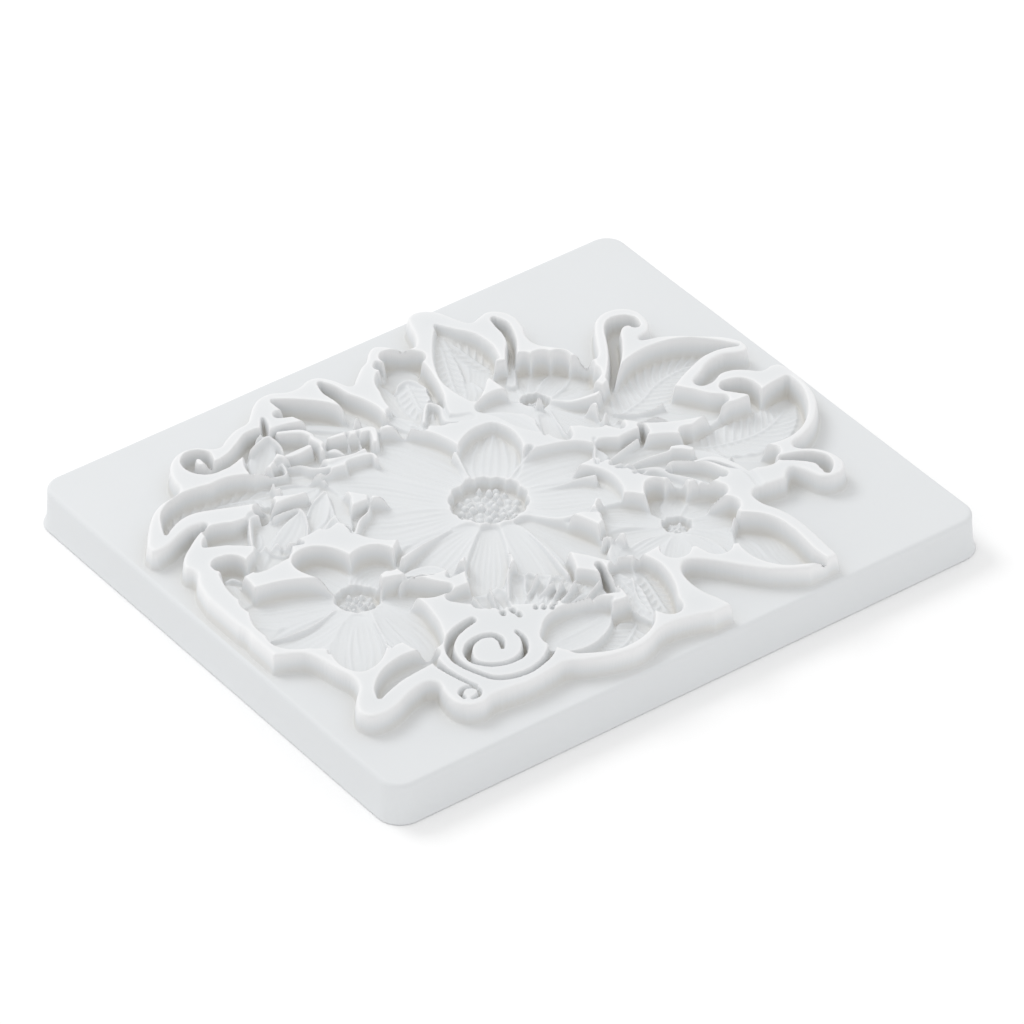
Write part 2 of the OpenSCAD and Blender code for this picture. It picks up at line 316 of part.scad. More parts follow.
function unit(v) = v / norm(v);
function heading(c, i) =
  let (a = c[max(i - 1, 0)], b = c[min(i + 1, len(c) - 1)]) unit([b[0] - a[0], b[1] - a[1]]);

// Closed outline of a stroke: one side out, a round end, the other side back, a round end.
function cap(c, i, turn) =
  let (h = heading(c, i), a0 = atan2(h[1], h[0]))
  [for (a = [-60:30:60])
    [c[i][0] + c[i][2] * cos(a0 + turn + a), c[i][1] + c[i][2] * sin(a0 + turn + a)]];
function side(c, s, i) =
  let (h = heading(c, i)) [c[i][0] - s * c[i][2] * h[1], c[i][1] + s * c[i][2] * h[0]];
function stroke_outline(p) =
  let (c = open_curve(p, curve_steps), n = len(c) - 1)
  concat([for (i = [0:n]) side(c, -1, i)], c[n][2] > 0.35 ? cap(c, n, 0) : [],
    [for (i = [n:-1:0]) side(c, 1, i)], c[0][2] > 0.35 ? cap(c, 0, 180) : []);

function seed_of(name) = [for (s = seeds) if (s[0] == name) s][0];

module stroke_pocket(s)
{
  depth = s[1] + extra_depth;
  translate([0, 0, rim_z - depth])
    linear_extrude(depth + 1)
      polygon(stroke_outline(s[2]));
}

// Half of the plane on the side of seed a, away from seed b.
module near_side(a, b)
{
  d = norm([b[1] - a[1], b[2] - a[2]]);
  reach = (d * d + a[3] - b[3]) / (2 * d);
  translate([a[1], a[2], 0])
    rotate(atan2(b[2] - a[2], b[1] - a[1]))
      translate([reach - 150, -75, 0])
        square([150, 150]);
}

module region_plan(name)
{
  a = seed_of(name);
  intersection()
  {
    polygon(closed_curve(outline, curve_steps));
    intersection_for (b = seeds)
      if (b[0] == name)
        translate([-70, -60])
          square([140, 120]);
      else
        near_side(a, b);
  }
}

module region(name)
{
  difference()
  {
    translate([0, 0, seat_z])
      linear_extrude(rim_z - seat_z)
        region_plan(name);
    for (s = strokes)
      if (norm([s[2][0][0] - seed_of(name)[1], s[2][0][1] - seed_of(name)[2]]) < 45)
        stroke_pocket(s);
  }
}

// Upright section of one side, x measured inwards from the foot: flared foot, drafted face
// and a rounded upper edge.
function side_section() =
  concat([[0, 0], [0, 0.5], [foot_flare, 2]],
    [[side_draft - 0.08, slab_h - edge_r]],
    [for (a = [20:20:80]) [side_draft + edge_r * (1 - cos(a)) - 0.08 * cos(a),
      slab_h - edge_r * (1 - sin(a))]],
    [[side_draft + edge_r, slab_h]]);

// A bar as wide as the slab, drafted on both long sides.
module drafted_bar(half, length)
{
  s = side_section();
  n = len(s) - 1;
  rotate([90, 0, 0])
    translate([0, 0, -length / 2])
      linear_extrude(length)
        polygon(concat([for (p = s) [half - p[0], p[1]]],
          [for (i = [n:-1:0]) [s[i][0] - half, s[i][1]]]));
}

module slab_corner()
{
  rotate_extrude($fn = 48)
    polygon(concat([[0, 0]], [for (p = side_section()) [corner_r - p[0], p[1]]], [[0, slab_h]]));
}

module base_slab()
{
  l = slab_l / 2 - corner_r;
  w = slab_w / 2 - corner_r;
  color([.88, .9, .91])
    difference()
    {
      union()
      {
        drafted_bar(slab_l / 2, 2 * w);
        rotate([0, 0, 90])
          drafted_bar(slab_w / 2, 2 * l);
        for (x = [-l, l], y = [-w, w])
          translate([x, y, 0])
            slab_corner();
      }
      translate([0, 0, seat_z])
        linear_extrude(slab_h)
          polygon(closed_curve(outline, curve_steps));
    }
}

module part_region(name)
{
  color([.9, .92, .93])
    region(name);
}

module left_leaves() { part_region("left_leaves"); }
module upper_left_scroll() { part_region("upper_left_scroll"); }
module rose() { part_region("rose"); }
module back_leaves() { part_region("back_leaves"); }
module bud_sprig() { part_region("bud_sprig"); }
module top_leaf() { part_region("top_leaf"); }
module upper_flower() { part_region("upper_flower"); }
module cane_scroll() { part_region("cane_scroll"); }
module right_leaf() { part_region("right_leaf"); }
module right_scroll() { part_region("right_scroll"); }
module lower_right_leaf() { part_region("lower_right_leaf"); }
module lower_right_hook() { part_region("lower_right_hook"); }
module right_sprig() { part_region("right_sprig"); }
module right_flower() { part_region("right_flower"); }
module bottom_right_leaf() { part_region("bottom_right_leaf"); }
module bottom_leaf() { part_region("bottom_leaf"); }
module aster() { part_region("aster"); }
module spiral() { part_region("spiral"); }
module lower_left_leaf() { part_region("lower_left_leaf"); }
module left_flower() { part_region("left_flower"); }
module left_eye() { part_region("left_eye"); }
module left_buds() { part_region("left_buds"); }
module main_flower() { part_region("main_flower"); }

base_slab();
left_leaves();
upper_left_scroll();
rose();
back_leaves();
bud_sprig();
top_leaf();
upper_flower();
cane_scroll();
right_leaf();
right_scroll();
lower_right_leaf();
lower_right_hook();
right_sprig();
right_flower();
bottom_right_leaf();
bottom_leaf();
aster();
spiral();
lower_left_leaf();
left_flower();
left_eye();
left_buds();
main_flower();
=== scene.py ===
"""Looks of the silicone soap mould: one soft casting, a slab with a bouquet sunk into its raised part.

The slab's sizes and heights come from the CAD frame. The tables hold the design's own points in
millimetres on the slab's plan, and the surface is worked out from them as a height field on a grid.
"""

import math

import bpy
import numpy as np
from mathutils import Matrix, Vector


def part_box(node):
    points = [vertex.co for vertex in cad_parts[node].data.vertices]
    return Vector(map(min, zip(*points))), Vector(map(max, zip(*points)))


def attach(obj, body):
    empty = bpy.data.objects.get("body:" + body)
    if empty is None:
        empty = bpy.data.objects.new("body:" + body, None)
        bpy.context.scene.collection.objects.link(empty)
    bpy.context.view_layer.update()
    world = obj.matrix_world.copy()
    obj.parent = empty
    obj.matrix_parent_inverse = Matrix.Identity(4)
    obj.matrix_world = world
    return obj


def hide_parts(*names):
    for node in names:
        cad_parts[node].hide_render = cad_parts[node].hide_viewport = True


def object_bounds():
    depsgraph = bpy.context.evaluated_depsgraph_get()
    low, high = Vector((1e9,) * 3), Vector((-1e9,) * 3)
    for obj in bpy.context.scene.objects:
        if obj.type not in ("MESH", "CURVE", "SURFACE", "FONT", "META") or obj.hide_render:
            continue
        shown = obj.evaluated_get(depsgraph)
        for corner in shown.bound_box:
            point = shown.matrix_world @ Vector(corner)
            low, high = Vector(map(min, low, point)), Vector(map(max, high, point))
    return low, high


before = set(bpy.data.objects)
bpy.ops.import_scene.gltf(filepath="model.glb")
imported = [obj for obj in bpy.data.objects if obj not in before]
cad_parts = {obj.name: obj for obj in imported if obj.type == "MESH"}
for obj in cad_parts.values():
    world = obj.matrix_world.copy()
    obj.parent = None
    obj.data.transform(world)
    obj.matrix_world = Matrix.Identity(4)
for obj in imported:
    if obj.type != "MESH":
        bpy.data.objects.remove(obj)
cad_low, cad_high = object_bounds()

MM = 0.001
slab_low, slab_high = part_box("base_slab")
seat_low, rim_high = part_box("main_flower")
HALF_L = (slab_high.x - slab_low.x) / 2 / MM
HALF_W = (slab_high.y - slab_low.y) / 2 / MM
SLAB_Z = slab_high.z / MM
SEAT_Z = seat_low.z / MM
RIM_Z = rim_high.z / MM
RIM_H = RIM_Z - SLAB_Z

# Slab: corner radius at the foot, how far the top sits inside the foot, rounding of the top edge.
CORNER_R = 4.5
DRAFT = 0.7
FLARE = 0.35
EDGE_R = 0.8
FLAT_X = HALF_L - DRAFT - EDGE_R
FLAT_Y = HALF_W - DRAFT - EDGE_R
FLAT_R = CORNER_R - DRAFT - EDGE_R
# How far the sides wander in and out, and the height over which that fades towards the foot.
WANDER, WANDER_FADE = 0.06, 1.5
# Rings of the side, as shares of the way down, and the foot's rounding as (step in, height).
SIDE_SHARES = (0.12, 0.25, 0.4, 0.55, 0.7, 0.82, 0.9, 0.96)
FOOT_ROUND = ((0, 0.12), (0.04, 0.03), (0.15, 0))

# Grid: coarse cells on the flat part of the slab, each cut into SUB by SUB fine cells.
COARSE = 0.6
SUB = 4
NX = round(2 * FLAT_X / COARSE)
NY = round(2 * FLAT_Y / COARSE)
STEP_X = 2 * FLAT_X / (NX * SUB)
STEP_Y = 2 * FLAT_Y / (NY * SUB)
STEP = (STEP_X + STEP_Y) / 2

# Outer wall of the rim: fillet at its foot, width of the steep part, rounding at the top.
FOOT_R, WALL_W, RIM_R = 0.35, 0.2, 0.72
# A cavity's wall starts and ends this far inside its edge.
EDGE_OUT, EDGE_IN = -0.1, 0.24
# Kinds of patch with a gentler wall, and how many times as wide it is.
SLOPES = {"petal": 1.35, "bed": 1.5, "leaf": 1.25, "vein": 1.25, "bud": 1.4, "tube": 1.2, "wall": 1.15}
# The ornament stops this far inside the flat part of the slab.
EDGE_GAP = COARSE + FOOT_R + 0.1
# The fine grid goes on this far outside the rim, and blends into the flat slab over this width.
FINE_OUT, BLEND_GAP, BLEND_W = FOOT_R + 0.48, 0.02, 0.4

# Spacing of the worked-out points on the outline and on a patch's centre line.
OUTLINE_STEP, LINE_STEP = 0.45, 0.22
# Fine lines of a petal, as shares of its half width, and the spacing of a leaf's side veins.
PETAL_LINES = (-0.74, -0.5, -0.24, 0.04, 0.3, 0.52, 0.78)
BUD_LINES = (-0.45, 0, 0.45)
VEIN_PITCH = 1.55
# Each patch's lines are shifted from the last one's by this angle. Stamens turn by the golden angle.
PHASE_STEP, GOLDEN_ANGLE = 2.399, 2.39996
# A centre with a half width over this is a large one, with more folds and more stamens.
LARGE_CENTRE = 4
LARGE_FOLDS, SMALL_FOLDS = 7, 5
LARGE_STAMENS, SMALL_STAMENS = (40, 0.66), (15, 0.5)

# Reach, in grid points, of the smoothing that finds broad hollows, near ones and crests, for the painted
# shade and painted highlight in the colour.
WIDE, NEAR, CREST = 14, 4, 2

# Silicone colour with painted light in it: a paler painted highlight on the crests, the plain cool white on
# flat parts, and painted shade, warmer and darker, in the hollows, standing in for shade and for light
# passing through the silicone. Flat parts lie at FLAT_PLACE on the ramp from crest to hollow, and a full
# hollow lies HOLLOW_SHARE further on.
CREST_HIGHLIGHT_COLOUR = (0.865, 0.867, 0.872, 1)
FLAT_COLOUR = (0.752, 0.768, 0.78, 1)
HOLLOW_SHADE_COLOUR = (0.67, 0.635, 0.575, 1)
FLAT_PLACE, HOLLOW_SHARE = 0.42, 0.55

# Outer edge of the rim, points on a closed smooth curve.
OUTLINE = [
    (-57.7, 20.6), (-56.4, 22.6), (-54.4, 25.2), (-51.8, 27.9), (-49, 29.5), (-46, 30.1), (-44.4, 30.8),
    (-44, 33), (-42.9, 35.8), (-40.8, 38.2), (-38, 39.3), (-35.4, 38.7), (-33.6, 37), (-32.2, 36.5),
    (-30.4, 37.6), (-27.8, 38.8), (-25.2, 39.2), (-23.6, 40.5), (-21.8, 42.3), (-19.6, 43.6), (-17, 43.6),
    (-14.6, 42.3), (-12.4, 42.1), (-10, 42.9), (-7.8, 42.2), (-6.2, 39.9), (-5.1, 37.2), (-3.4, 38.4),
    (-1.2, 40.2), (0.8, 41.3), (2.4, 43), (4.2, 43.8), (6, 42.7), (7.8, 40.5), (9.7, 39.8), (11.2, 41.8),
    (12.2, 44.6), (13.2, 46.8), (15, 47.6), (17.4, 46.9), (19.2, 44.6), (20.3, 41.6), (21.4, 39.6),
    (23.2, 40), (25.4, 40.4), (27.6, 38.8), (28.5, 36.2), (28, 33), (26.8, 30.4), (26.8, 27.8), (28.4, 25.6),
    (30, 23.6), (30.4, 21), (31.4, 19), (32.6, 19.2), (34.3, 21.9), (36.3, 25), (38.4, 27.4), (41.3, 28.3),
    (44.3, 27.3), (45.9, 24.8), (45.6, 21.6), (44, 19.2), (41.4, 18.3), (44.4, 17.1), (47.4, 15.2),
    (50.3, 12.8), (53, 10.4), (54.6, 7.6), (54.2, 5.2), (52.6, 4.7), (49.6, 6.1), (46.6, 5.9), (43.9, 4.5),
    (41.4, 3.2), (41.6, 1.9), (43.6, 1.8), (46, 2.8), (48.6, 2.2), (50.5, 0.7), (52, -0.8), (54, -0.6),
    (55.7, -1.4), (56.3, -4.4), (56, -8.4), (55, -12), (53.1, -15), (50.2, -17.8), (47, -19.5), (43.9, -20.3),
    (43.9, -21.6), (46, -23.4), (47.4, -26.2), (47.4, -29.2), (45.8, -31.2), (43.4, -31.5), (41.4, -30.2),
    (40.5, -27.6), (39.5, -25.6), (38.3, -25.9), (36.8, -27.1), (34.2, -26.9), (31.6, -26.5), (30, -27.4),
    (30, -29.9), (31.1, -32.8), (31.8, -36.6), (31.7, -41), (31.3, -45.6), (30.9, -48.8), (29.4, -50),
    (26.4, -49.1), (22.9, -47.2), (19.6, -44.7), (16.9, -41.7), (14.8, -38.9), (12.6, -36.3), (10.4, -34.9),
    (8.6, -36.2), (7.8, -39.2), (8, -42.6), (9, -45.8), (9.3, -48.5), (7.4, -49.2), (4.6, -48), (1.6, -47),
    (-1.6, -46.4), (-4.2, -46.7), (-6.4, -47.6), (-9, -48.2), (-12, -47.9), (-15.2, -47), (-18.4, -45.6),
    (-21, -44.2), (-24, -44.5), (-28, -44.8), (-32, -44.3), (-35, -44), (-37.6, -44.6), (-40, -43.7),
    (-41.4, -41.4), (-41.2, -38.4), (-40.6, -36), (-42, -35), (-45.2, -35.6), (-48.4, -36.9), (-51.4, -37.4),
    (-54, -36.6), (-54.9, -34.2), (-53.4, -31.4), (-51.2, -29), (-50.6, -26.4), (-51.4, -23), (-52, -19.6),
    (-53.1, -17.2), (-56, -15.4), (-58.5, -14.2), (-59, -12.8), (-57.9, -9.8), (-57.2, -7), (-57.6, -3.8),
    (-57.8, 0), (-57.4, 4), (-56.4, 8), (-54.9, 10.8), (-55.6, 13), (-54.2, 15.4), (-51.6, 17.4),
    (-48.8, 19.2), (-46.2, 20.3), (-48.4, 20.9), (-51, 20.2), (-54, 19.1), (-56.7, 18.9),
]

# Patches of the motifs, laid one over the other in this order: kind of floor, points of the centre
# line and, where the floor leans, how much deeper it is at the left edge. A point is its place, the
# half width and the depth below the rim, which stays the last one where none is given.
PATCHES = [
    # left leaves
    ("vein", [(-52.8, 22, 0.1, 4.1), (-51, 24, 0.9), (-48.5, 25.9, 1.9), (-45, 26.6, 2.7), (-41, 25.6, 3.2),
     (-37, 23.8, 3.2), (-34, 22.2, 2.6)]),
    ("vein", [(-49.6, 15.6, 0.2, 3.4), (-47.8, 16, 1.4), (-45.3, 15.8, 2.3), (-42.8, 15.2, 2.7),
     (-40.2, 14.6, 2.8), (-37.5, 14.2, 2.2)]),
    # upper left scroll
    ("chan", [(-36, 34, 0.7, 3.4), (-35.8, 36, 1), (-37.3, 37, 1.1), (-38.8, 35.9, 1.1), (-38.9, 33.8, 1),
     (-37.4, 32.3, 1.2), (-34.8, 32, 1.2), (-31.8, 32.7, 1.1), (-29, 34, 1.2), (-26.6, 35.6, 0.9),
     (-24.6, 35.9, 0.5)]),
    ("chan", [(-25.2, 33.6, 0.8, 3), (-26.6, 32.3, 2.2), (-28.6, 30.4, 2.3), (-30.4, 28.5, 1.7),
     (-32, 27.2, 0.4)]),
    ("chan", [(-22.2, 38.2, 0.2, 2.4), (-22.9, 36.8, 0.5), (-23.9, 35.2, 0.7)]),
    # back leaves
    ("leaf", [(-18, 41.2, 0.3, 4.2), (-16.6, 38.6, 1.6), (-15, 35.8, 2.6), (-13.3, 33, 3), (-11.8, 30.5, 2),
     (-11, 28.5, 0.8)]),
    ("leaf", [(-8.9, 40.4, 0.4, 3.6), (-8.7, 38, 1.2), (-8.3, 35, 1.3), (-7.8, 32, 1.9), (-7.3, 29, 2),
     (-7.2, 26, 1.4)]),
    # cane scroll
    ("chan", [(30.6, 12.6, 0.6, 3.6), (33, 14.8, 0.8), (35.3, 17.4, 1), (37.3, 20.3, 1.1), (38.9, 22.9, 1.2),
     (40.8, 24.3, 1.5), (42.8, 23.6, 1.2), (43, 22, 0.7)]),
    # lower right hook
    ("chan", [(39.7, -22.3, 0.5, 3.4), (41.6, -23.3, 0.9), (43.3, -24.6, 1.2), (44.5, -26.3, 1.3),
     (44.3, -28, 1.1), (43.4, -29.6, 0.4)]),
    ("chan", [(33.4, -16.4, 0.6, 3.6), (34.8, -18.2, 2.1), (36.5, -20, 2.3), (38, -21.3, 1.2)]),
    # spiral
    ("groove", [(-26.8, -34.9, 0.2, 2.8), (-25.9, -33.2, 0.4), (-26.2, -31.5, 0.4), (-28, -30.6, 0.4),
     (-30.3, -31, 0.5), (-32, -32.6, 0.6), (-32.6, -34.6, 0.4), (-32, -36.2, 0.3), (-30.5, -37.7, 0.3),
     (-28, -38.6, 0.3), (-25.5, -38.3, 0.4), (-23.7, -36.8, 0.4), (-22.7, -34.8, 0.3), (-22.6, -33, 0.2)]),
    ("groove", [(-26.6, -26.3, 0.6, 2.8), (-29, -26.7, 0.7), (-31.5, -27.7, 0.7), (-33.6, -29.8, 0.6),
     (-34.6, -32.5, 0.5), (-34.5, -35.3, 0.35), (-33.5, -38.3, 0.3), (-32.3, -40.5, 0.35), (-30, -41.8, 0.4),
     (-27, -42.3, 0.35), (-24, -41.7, 0.35), (-21.5, -40.5, 0.5), (-19.5, -38.4, 0.5), (-18, -36, 0.3)]),
    ("groove", [(-36, -40.2, 0.2, 2.4), (-36.8, -37.5, 0.25), (-37.4, -34.5, 0.35), (-37.5, -32, 0.5),
     (-36.9, -30.2, 0.3)]),
    ("groove", [(-39.2, -41.6, 0.2, 2), (-39, -40.2, 0.3), (-37.8, -39.6, 0.25), (-36.5, -40.2, 0.2),
     (-36.2, -41.4, 0.25), (-37, -42.3, 0.3), (-38.2, -42.4, 0.2)]),
    # lower left leaf
    ("leaf", [(-49.8, -33.3, 0.3, 3.2), (-47.9, -31.6, 1.2), (-44.8, -30, 1.9), (-41.5, -29.3, 2.2),
     (-38.6, -29.3, 2), (-36.6, -29.3, 1.2, 3)]),
    # right scroll
    ("chan", [(44.9, -1.2, 1.4, 4.2), (46.5, -2.4, 1.9), (47.3, -4.6, 1.3), (46.6, -6.9, 0.8),
     (44.9, -8.6, 0.7), (42.6, -9, 0.5)]),
    # main flower
    ("bed", [(-15.6, 17.7, 3.4, 2.4), (-10.6, 12, 7, 2.6), (-7.3, 3.3, 10, 2.7), (-3.4, -3.9, 9.6),
     (1.9, -6.4, 6.4, 2.6), (5.3, -10, 4, 2.5)]),
    ("petal", [(-3.6, 5.6, 2.4, 3.2), (-5, 10.7, 4.2, 3.3), (-7.1, 15.5, 5.4, 3.2), (-9, 19.2, 4.6, 3),
     (-10.5, 21.7, 2, 2.6)]),
    ("petal", [(1.6, 1.5, 2, 3), (6.1, 1.4, 3.2, 2.8), (10, 0.4, 3.4, 2.7), (13.4, -0.5, 3),
     (16.1, -1.2, 1.4)], -0.4),
    ("petal", [(-0.5, 4.3, 3.6, 3.1), (2.2, 7.8, 5.3, 3.2), (4, 10, 4.6, 3), (5.4, 11.7, 3, 2.7),
     (6.4, 12.9, 1.6, 2.2), (7.1, 13.7, 0.5, 1.2), (7.7, 14.4, 0.05, 0.2)]),
    ("petal", [(-8.9, 3.9, 2.6, 3.1), (-11.9, 7.5, 3.8), (-15.9, 12.5, 4.4, 3), (-19.5, 15.8, 3.6, 2.6),
     (-22.6, 18.5, 1.6, 2)]),
    ("petal", [(-2.5, -8.7, 2.4, 3.8), (-1, -14.2, 3.8, 4.2), (0.3, -18.6, 4.2), (1.4, -22.2, 3.2, 4),
     (1.3, -26.1, 1.2, 3.6)], 0.2),
    ("petal", [(2.1, -3.3, 3, 3), (4.7, -5.3, 4.4), (7.7, -6.7, 4.9), (10.4, -8.7, 4, 2.8),
     (11.8, -11.5, 2.4, 2.4), (12.9, -13.8, 0.4, 2)]),
    ("wall", [(4, -1.5, 0.2, 2.8), (7.1, -3.4, 0.3, 2.4), (10.9, -5.2, 0.4, 1.4), (12.6, -7.1, 0.5, 0.4)]),
    ("wall", [(-0.3, -6.5, 0.3, 2.8), (1.8, -10.5, 0.5, 2.2), (4.9, -13.2, 0.6, 1.2),
     (7.4, -15.7, 0.6, 0.5)]),
    ("petal", [(-11.2, 0.8, 2.4, 3.2), (-16, 1.8, 4.6), (-20.5, 3.2, 5.8), (-23.3, 5, 4.8, 3),
     (-24.7, 6.1, 3, 2.8)]),
    ("petal", [(-5.1, -8.1, 2.2, 3.2), (-6, -13.5, 3.6, 3.3), (-7.6, -19.7, 4.4, 3.4), (-9.3, -25, 3.8),
     (-10.4, -28.2, 1.8)], 0.2),
    ("petal", [(-10.8, -4.2, 2, 3.2), (-15.7, -5.4, 4, 3.3), (-20.2, -6.8, 5.6, 3.4), (-23.3, -8.2, 4.6),
     (-25.2, -8.8, 2.4)], -0.2),
    ("wall", [(-3.3, -9.9, 0.25, 2.8), (-4, -16.2, 0.35, 2.2), (-5.9, -24.6, 0.4, 1.4)]),
    ("wall", [(-13.2, -2.1, 0.25, 2.6), (-19.3, -3.4, 0.4, 1.8), (-25.5, -5.9, 0.6, 0.4)]),
    ("wall", [(8.4, 5.2, 0.6, 1), (5.8, 4.5, 0.35, 2.2), (1.9, 2.8, 0.25, 2.8)]),
    ("wall", [(-1.6, 12.4, 0.6, 1), (-2.2, 8.9, 0.35, 2.2), (-2.9, 5.7, 0.25, 2.8)]),
    ("petal", [(-8.1, -6.1, 1.8, 3.8), (-11.3, -10.2, 2.9, 3.9), (-14.6, -14.3, 3.6), (-18, -18.6, 3, 3.8),
     (-19.2, -20.1, 1.8)]),
    ("pit", [(-3.6, 0.8, 6, 5.4), (-3.3, 0.7, 6.1), (-3.1, 0.5, 6)]),
    # upper flower
    ("bed", [(17.1, 24.6, 2.4, 3.8), (18.9, 20.8, 3.8, 3.6), (21.7, 18.2, 4.4), (25.2, 16.6, 3.8, 3.9),
     (28.2, 16.1, 2.4, 4.2)]),
    ("bed", [(14.9, 14.7, 2, 2.6), (16.8, 11.7, 3.4, 2.7), (19.3, 8.7, 3.4, 2.8), (21.2, 6.4, 2.2)]),
    ("bud", [(9, 18.5, 1.6, 1.2), (11.2, 15.9, 2.2, 1.4), (12.4, 12, 2.4), (12.7, 8.8, 1.2, 1.2)]),
    ("bed", [(9.8, 19.5, 1.2, 2.2), (12.9, 18.9, 2.2, 2.6), (15.3, 16.9, 2.6, 2.8)]),
    ("bud", [(20.3, 25.5, 1.2, 1.6), (22.4, 24, 1.2)]),
    ("petal", [(18.1, 19, 1.5, 3.2), (18.6, 23.2, 2.8, 4.2), (17.6, 25.2, 2.4), (16.3, 26.4, 0.8, 4)]),
    ("petal", [(19.1, 18.8, 1.5, 3.4), (21.5, 23.6, 2.2, 4.6), (22.2, 25.6, 1.7)]),
    ("petal", [(20.7, 17.6, 1.5, 3.4), (26.1, 19.2, 2.4, 4.8), (29, 18.9, 2), (29.4, 17.7, 1.4, 4.7)]),
    ("petal", [(19.7, 18.7, 1.5, 3.4), (23.5, 22.4, 2.4, 4.8), (24.9, 24, 2, 4.9)]),
    ("petal", [(20.2, 18.1, 1.5, 3.4), (25, 21.3, 2.4, 4.8), (27.1, 22.3, 2, 4.9)]),
    ("petal", [(20.4, 15.8, 1.2, 3.4), (23.1, 13.8, 2.4, 3.8), (25.4, 11.3, 2.8), (26.5, 9.6, 1.6, 3.6)]),
    ("wall", [(21.2, 16.2, 0.4, 2.6), (22.9, 13.5, 0.6, 2), (25.1, 11.6, 0.7, 1), (27.2, 10.5, 0.8, 0.2)]),
    ("petal", [(19, 13.9, 1.4, 3.2), (20, 10.4, 2.8, 3.4), (21.2, 6.4, 2.8), (21.4, 4.2, 1.6, 3.2)], 0.3),
    ("petal", [(16.8, 13, 1.2, 3), (15.7, 9.5, 2), (15, 5.8, 1.8, 2.8), (14.9, 3.9, 0.8, 2.6)], 0.3),
    ("wall", [(19.5, 14.6, 0.2, 2.8), (17.9, 10, 0.25, 2.2), (15.8, 3.8, 0.3, 1.6)]),
    ("wall", [(16.5, 13.9, 0.2, 2.6), (14.5, 10.5, 0.3, 2), (12.6, 6.5, 0.3, 1.4)]),
    ("pit", [(19.3, 18.7, 2.2, 5.7), (19.5, 18.6, 2.3), (19.6, 18.5, 2.2)]),
    # top leaf
    ("vein", [(25, 37.6, 0.5, 3.4), (25.1, 35.5, 1), (24.6, 33.2, 0.8), (23.6, 30.8, 0.7), (22, 28.7, 0.8),
     (20.3, 26.3, 0.9), (19, 24.6, 1)]),
    ("leaf", [(16, 41.9, 0.3, 1.8), (16.2, 38.2, 2, 2.2), (16.1, 34.2, 4, 3.2), (14.2, 30.5, 4.6, 3.8),
     (11, 26.9, 3.4, 3.4), (9, 21.7, 0.8, 2.8)], 0.2),
    ("vein", [(18.7, 28.8, 0.5, 3.8), (18.2, 32.5, 2, 3.9), (17.4, 36.3, 1.8, 3.2), (16.5, 39.8, 0.4, 2.2)]),
    ("vein", [(15.2, 40.5, 0.4, 1.8), (13.8, 36.9, 1.6, 2.4), (11.8, 32.5, 2.4, 2.9), (9.8, 28, 2.2, 3),
     (8.9, 24.4, 0.8, 2.8)], 0.4),
    ("leaf", [(13.3, 28.7, 1, 3.4), (12.2, 25.7, 1.8, 3.2), (9.5, 22.7, 1.4, 2.8)]),
    # bud sprig
    ("bed", [(4.7, 39.8, 1.5, 4), (6.5, 38.5, 1.9), (8.2, 36.9, 1.5)]),
    ("leaf", [(5.2, 36.7, 3, 4), (3.7, 33.9, 4.2), (1.6, 28.8, 4.8, 3.4), (0.5, 23.8, 3.6, 2.8),
     (1.2, 20.5, 1.8, 2.4)]),
    ("bud", [(0.5, 36.6, 0.5, 2.6), (-0.1, 33.7, 1.7, 3.2), (-1.2, 28.5, 1.5, 3)], 0.4),
    ("vein", [(4.3, 34.7, 1, 2.4), (3.7, 32.3, 2.5, 2.9), (2.3, 28.3, 2.6), (1.3, 24.5, 1.4, 2.8)], -0.3),
    ("bud", [(2, 39.4, 0.4, 2), (1.9, 38.5, 1, 3)], 0.3),
    ("bud", [(-3.8, 26.6, 1.2, 2), (-2.9, 24, 2, 2.4), (-2.3, 20.3, 0.8, 2)]),
    ("bud", [(-1.8, 24.1, 0.6, 2.2), (0.7, 21.2, 1.4, 2.6), (3.1, 19, 1, 2.4)], 0.3),
    ("wall", [(1.5, 33.5, 0.25, 2.2), (2.8, 34.4, 0.3, 1.8), (5, 34.2, 0.3), (6, 30.6, 0.3)]),
    ("wall", [(-0.5, 22.7, 0.5, 1.2), (2.6, 26, 0.5, 0.9), (3.8, 24, 0.5, 0.8), (2.5, 20.1, 0.8, 0.7),
     (5.5, 18, 1, 0.3)]),
    ("chan", [(4.7, 26.9, 0.95, 4.8), (4.6, 25.9, 0.95)]),
    # rose
    ("bud", [(-23.4, 33, 0.6, 3.2), (-21.5, 32.6, 1.9), (-18.8, 31.3, 2.2), (-16, 29.6, 2),
     (-13.5, 27.6, 1.6), (-11.8, 25.8, 0.6)]),
    ("bed", [(-24.3, 32.5, 2, 3.2), (-22, 30.8, 4, 3.5), (-19.1, 28.5, 5.2, 3.7), (-15.4, 26.6, 5),
     (-11.7, 25.6, 3.6, 3.5)]),
    ("bed", [(-19.3, 37.6, 0.9, 3.6), (-14.8, 35.3, 1), (-10.7, 31.7, 1), (-7.5, 28.3, 1, 3.4),
     (-4.4, 22.7, 1.2, 2.8)]),
    ("bud", [(-24.1, 34.2, 1, 1.2), (-26, 32.4, 2.2, 2.4), (-28.3, 30.1, 2.2, 3), (-30.4, 27.8, 1)], 0.4),
    ("petal", [(-27.6, 25.7, 1.2, 2.8), (-24.8, 24.8, 2.2, 3), (-22.8, 22.5, 2, 2.8),
     (-21.7, 20.9, 0.8, 2.6)], 0.3),
    ("petal", [(-32.1, 25.7, 0.5, 3), (-29.4, 23.9, 1.5, 3.2), (-25.5, 23, 1.7), (-22.6, 21, 0.5, 2.6)], 0.3),
    ("wall", [(-22, 34, 0.7, 0.5), (-18.9, 32.2, 0.8), (-18, 30.3, 0.7)]),
    ("wall", [(-24.8, 29, 0.6, 1.4), (-22.6, 28.4, 0.9, 1.1), (-19.9, 28.3, 0.8, 0.9)]),
    ("wall", [(-18.2, 29.6, 0.8, 0.7), (-17.8, 27.7, 0.8, 0.8), (-18.6, 26.2, 0.5, 1)]),
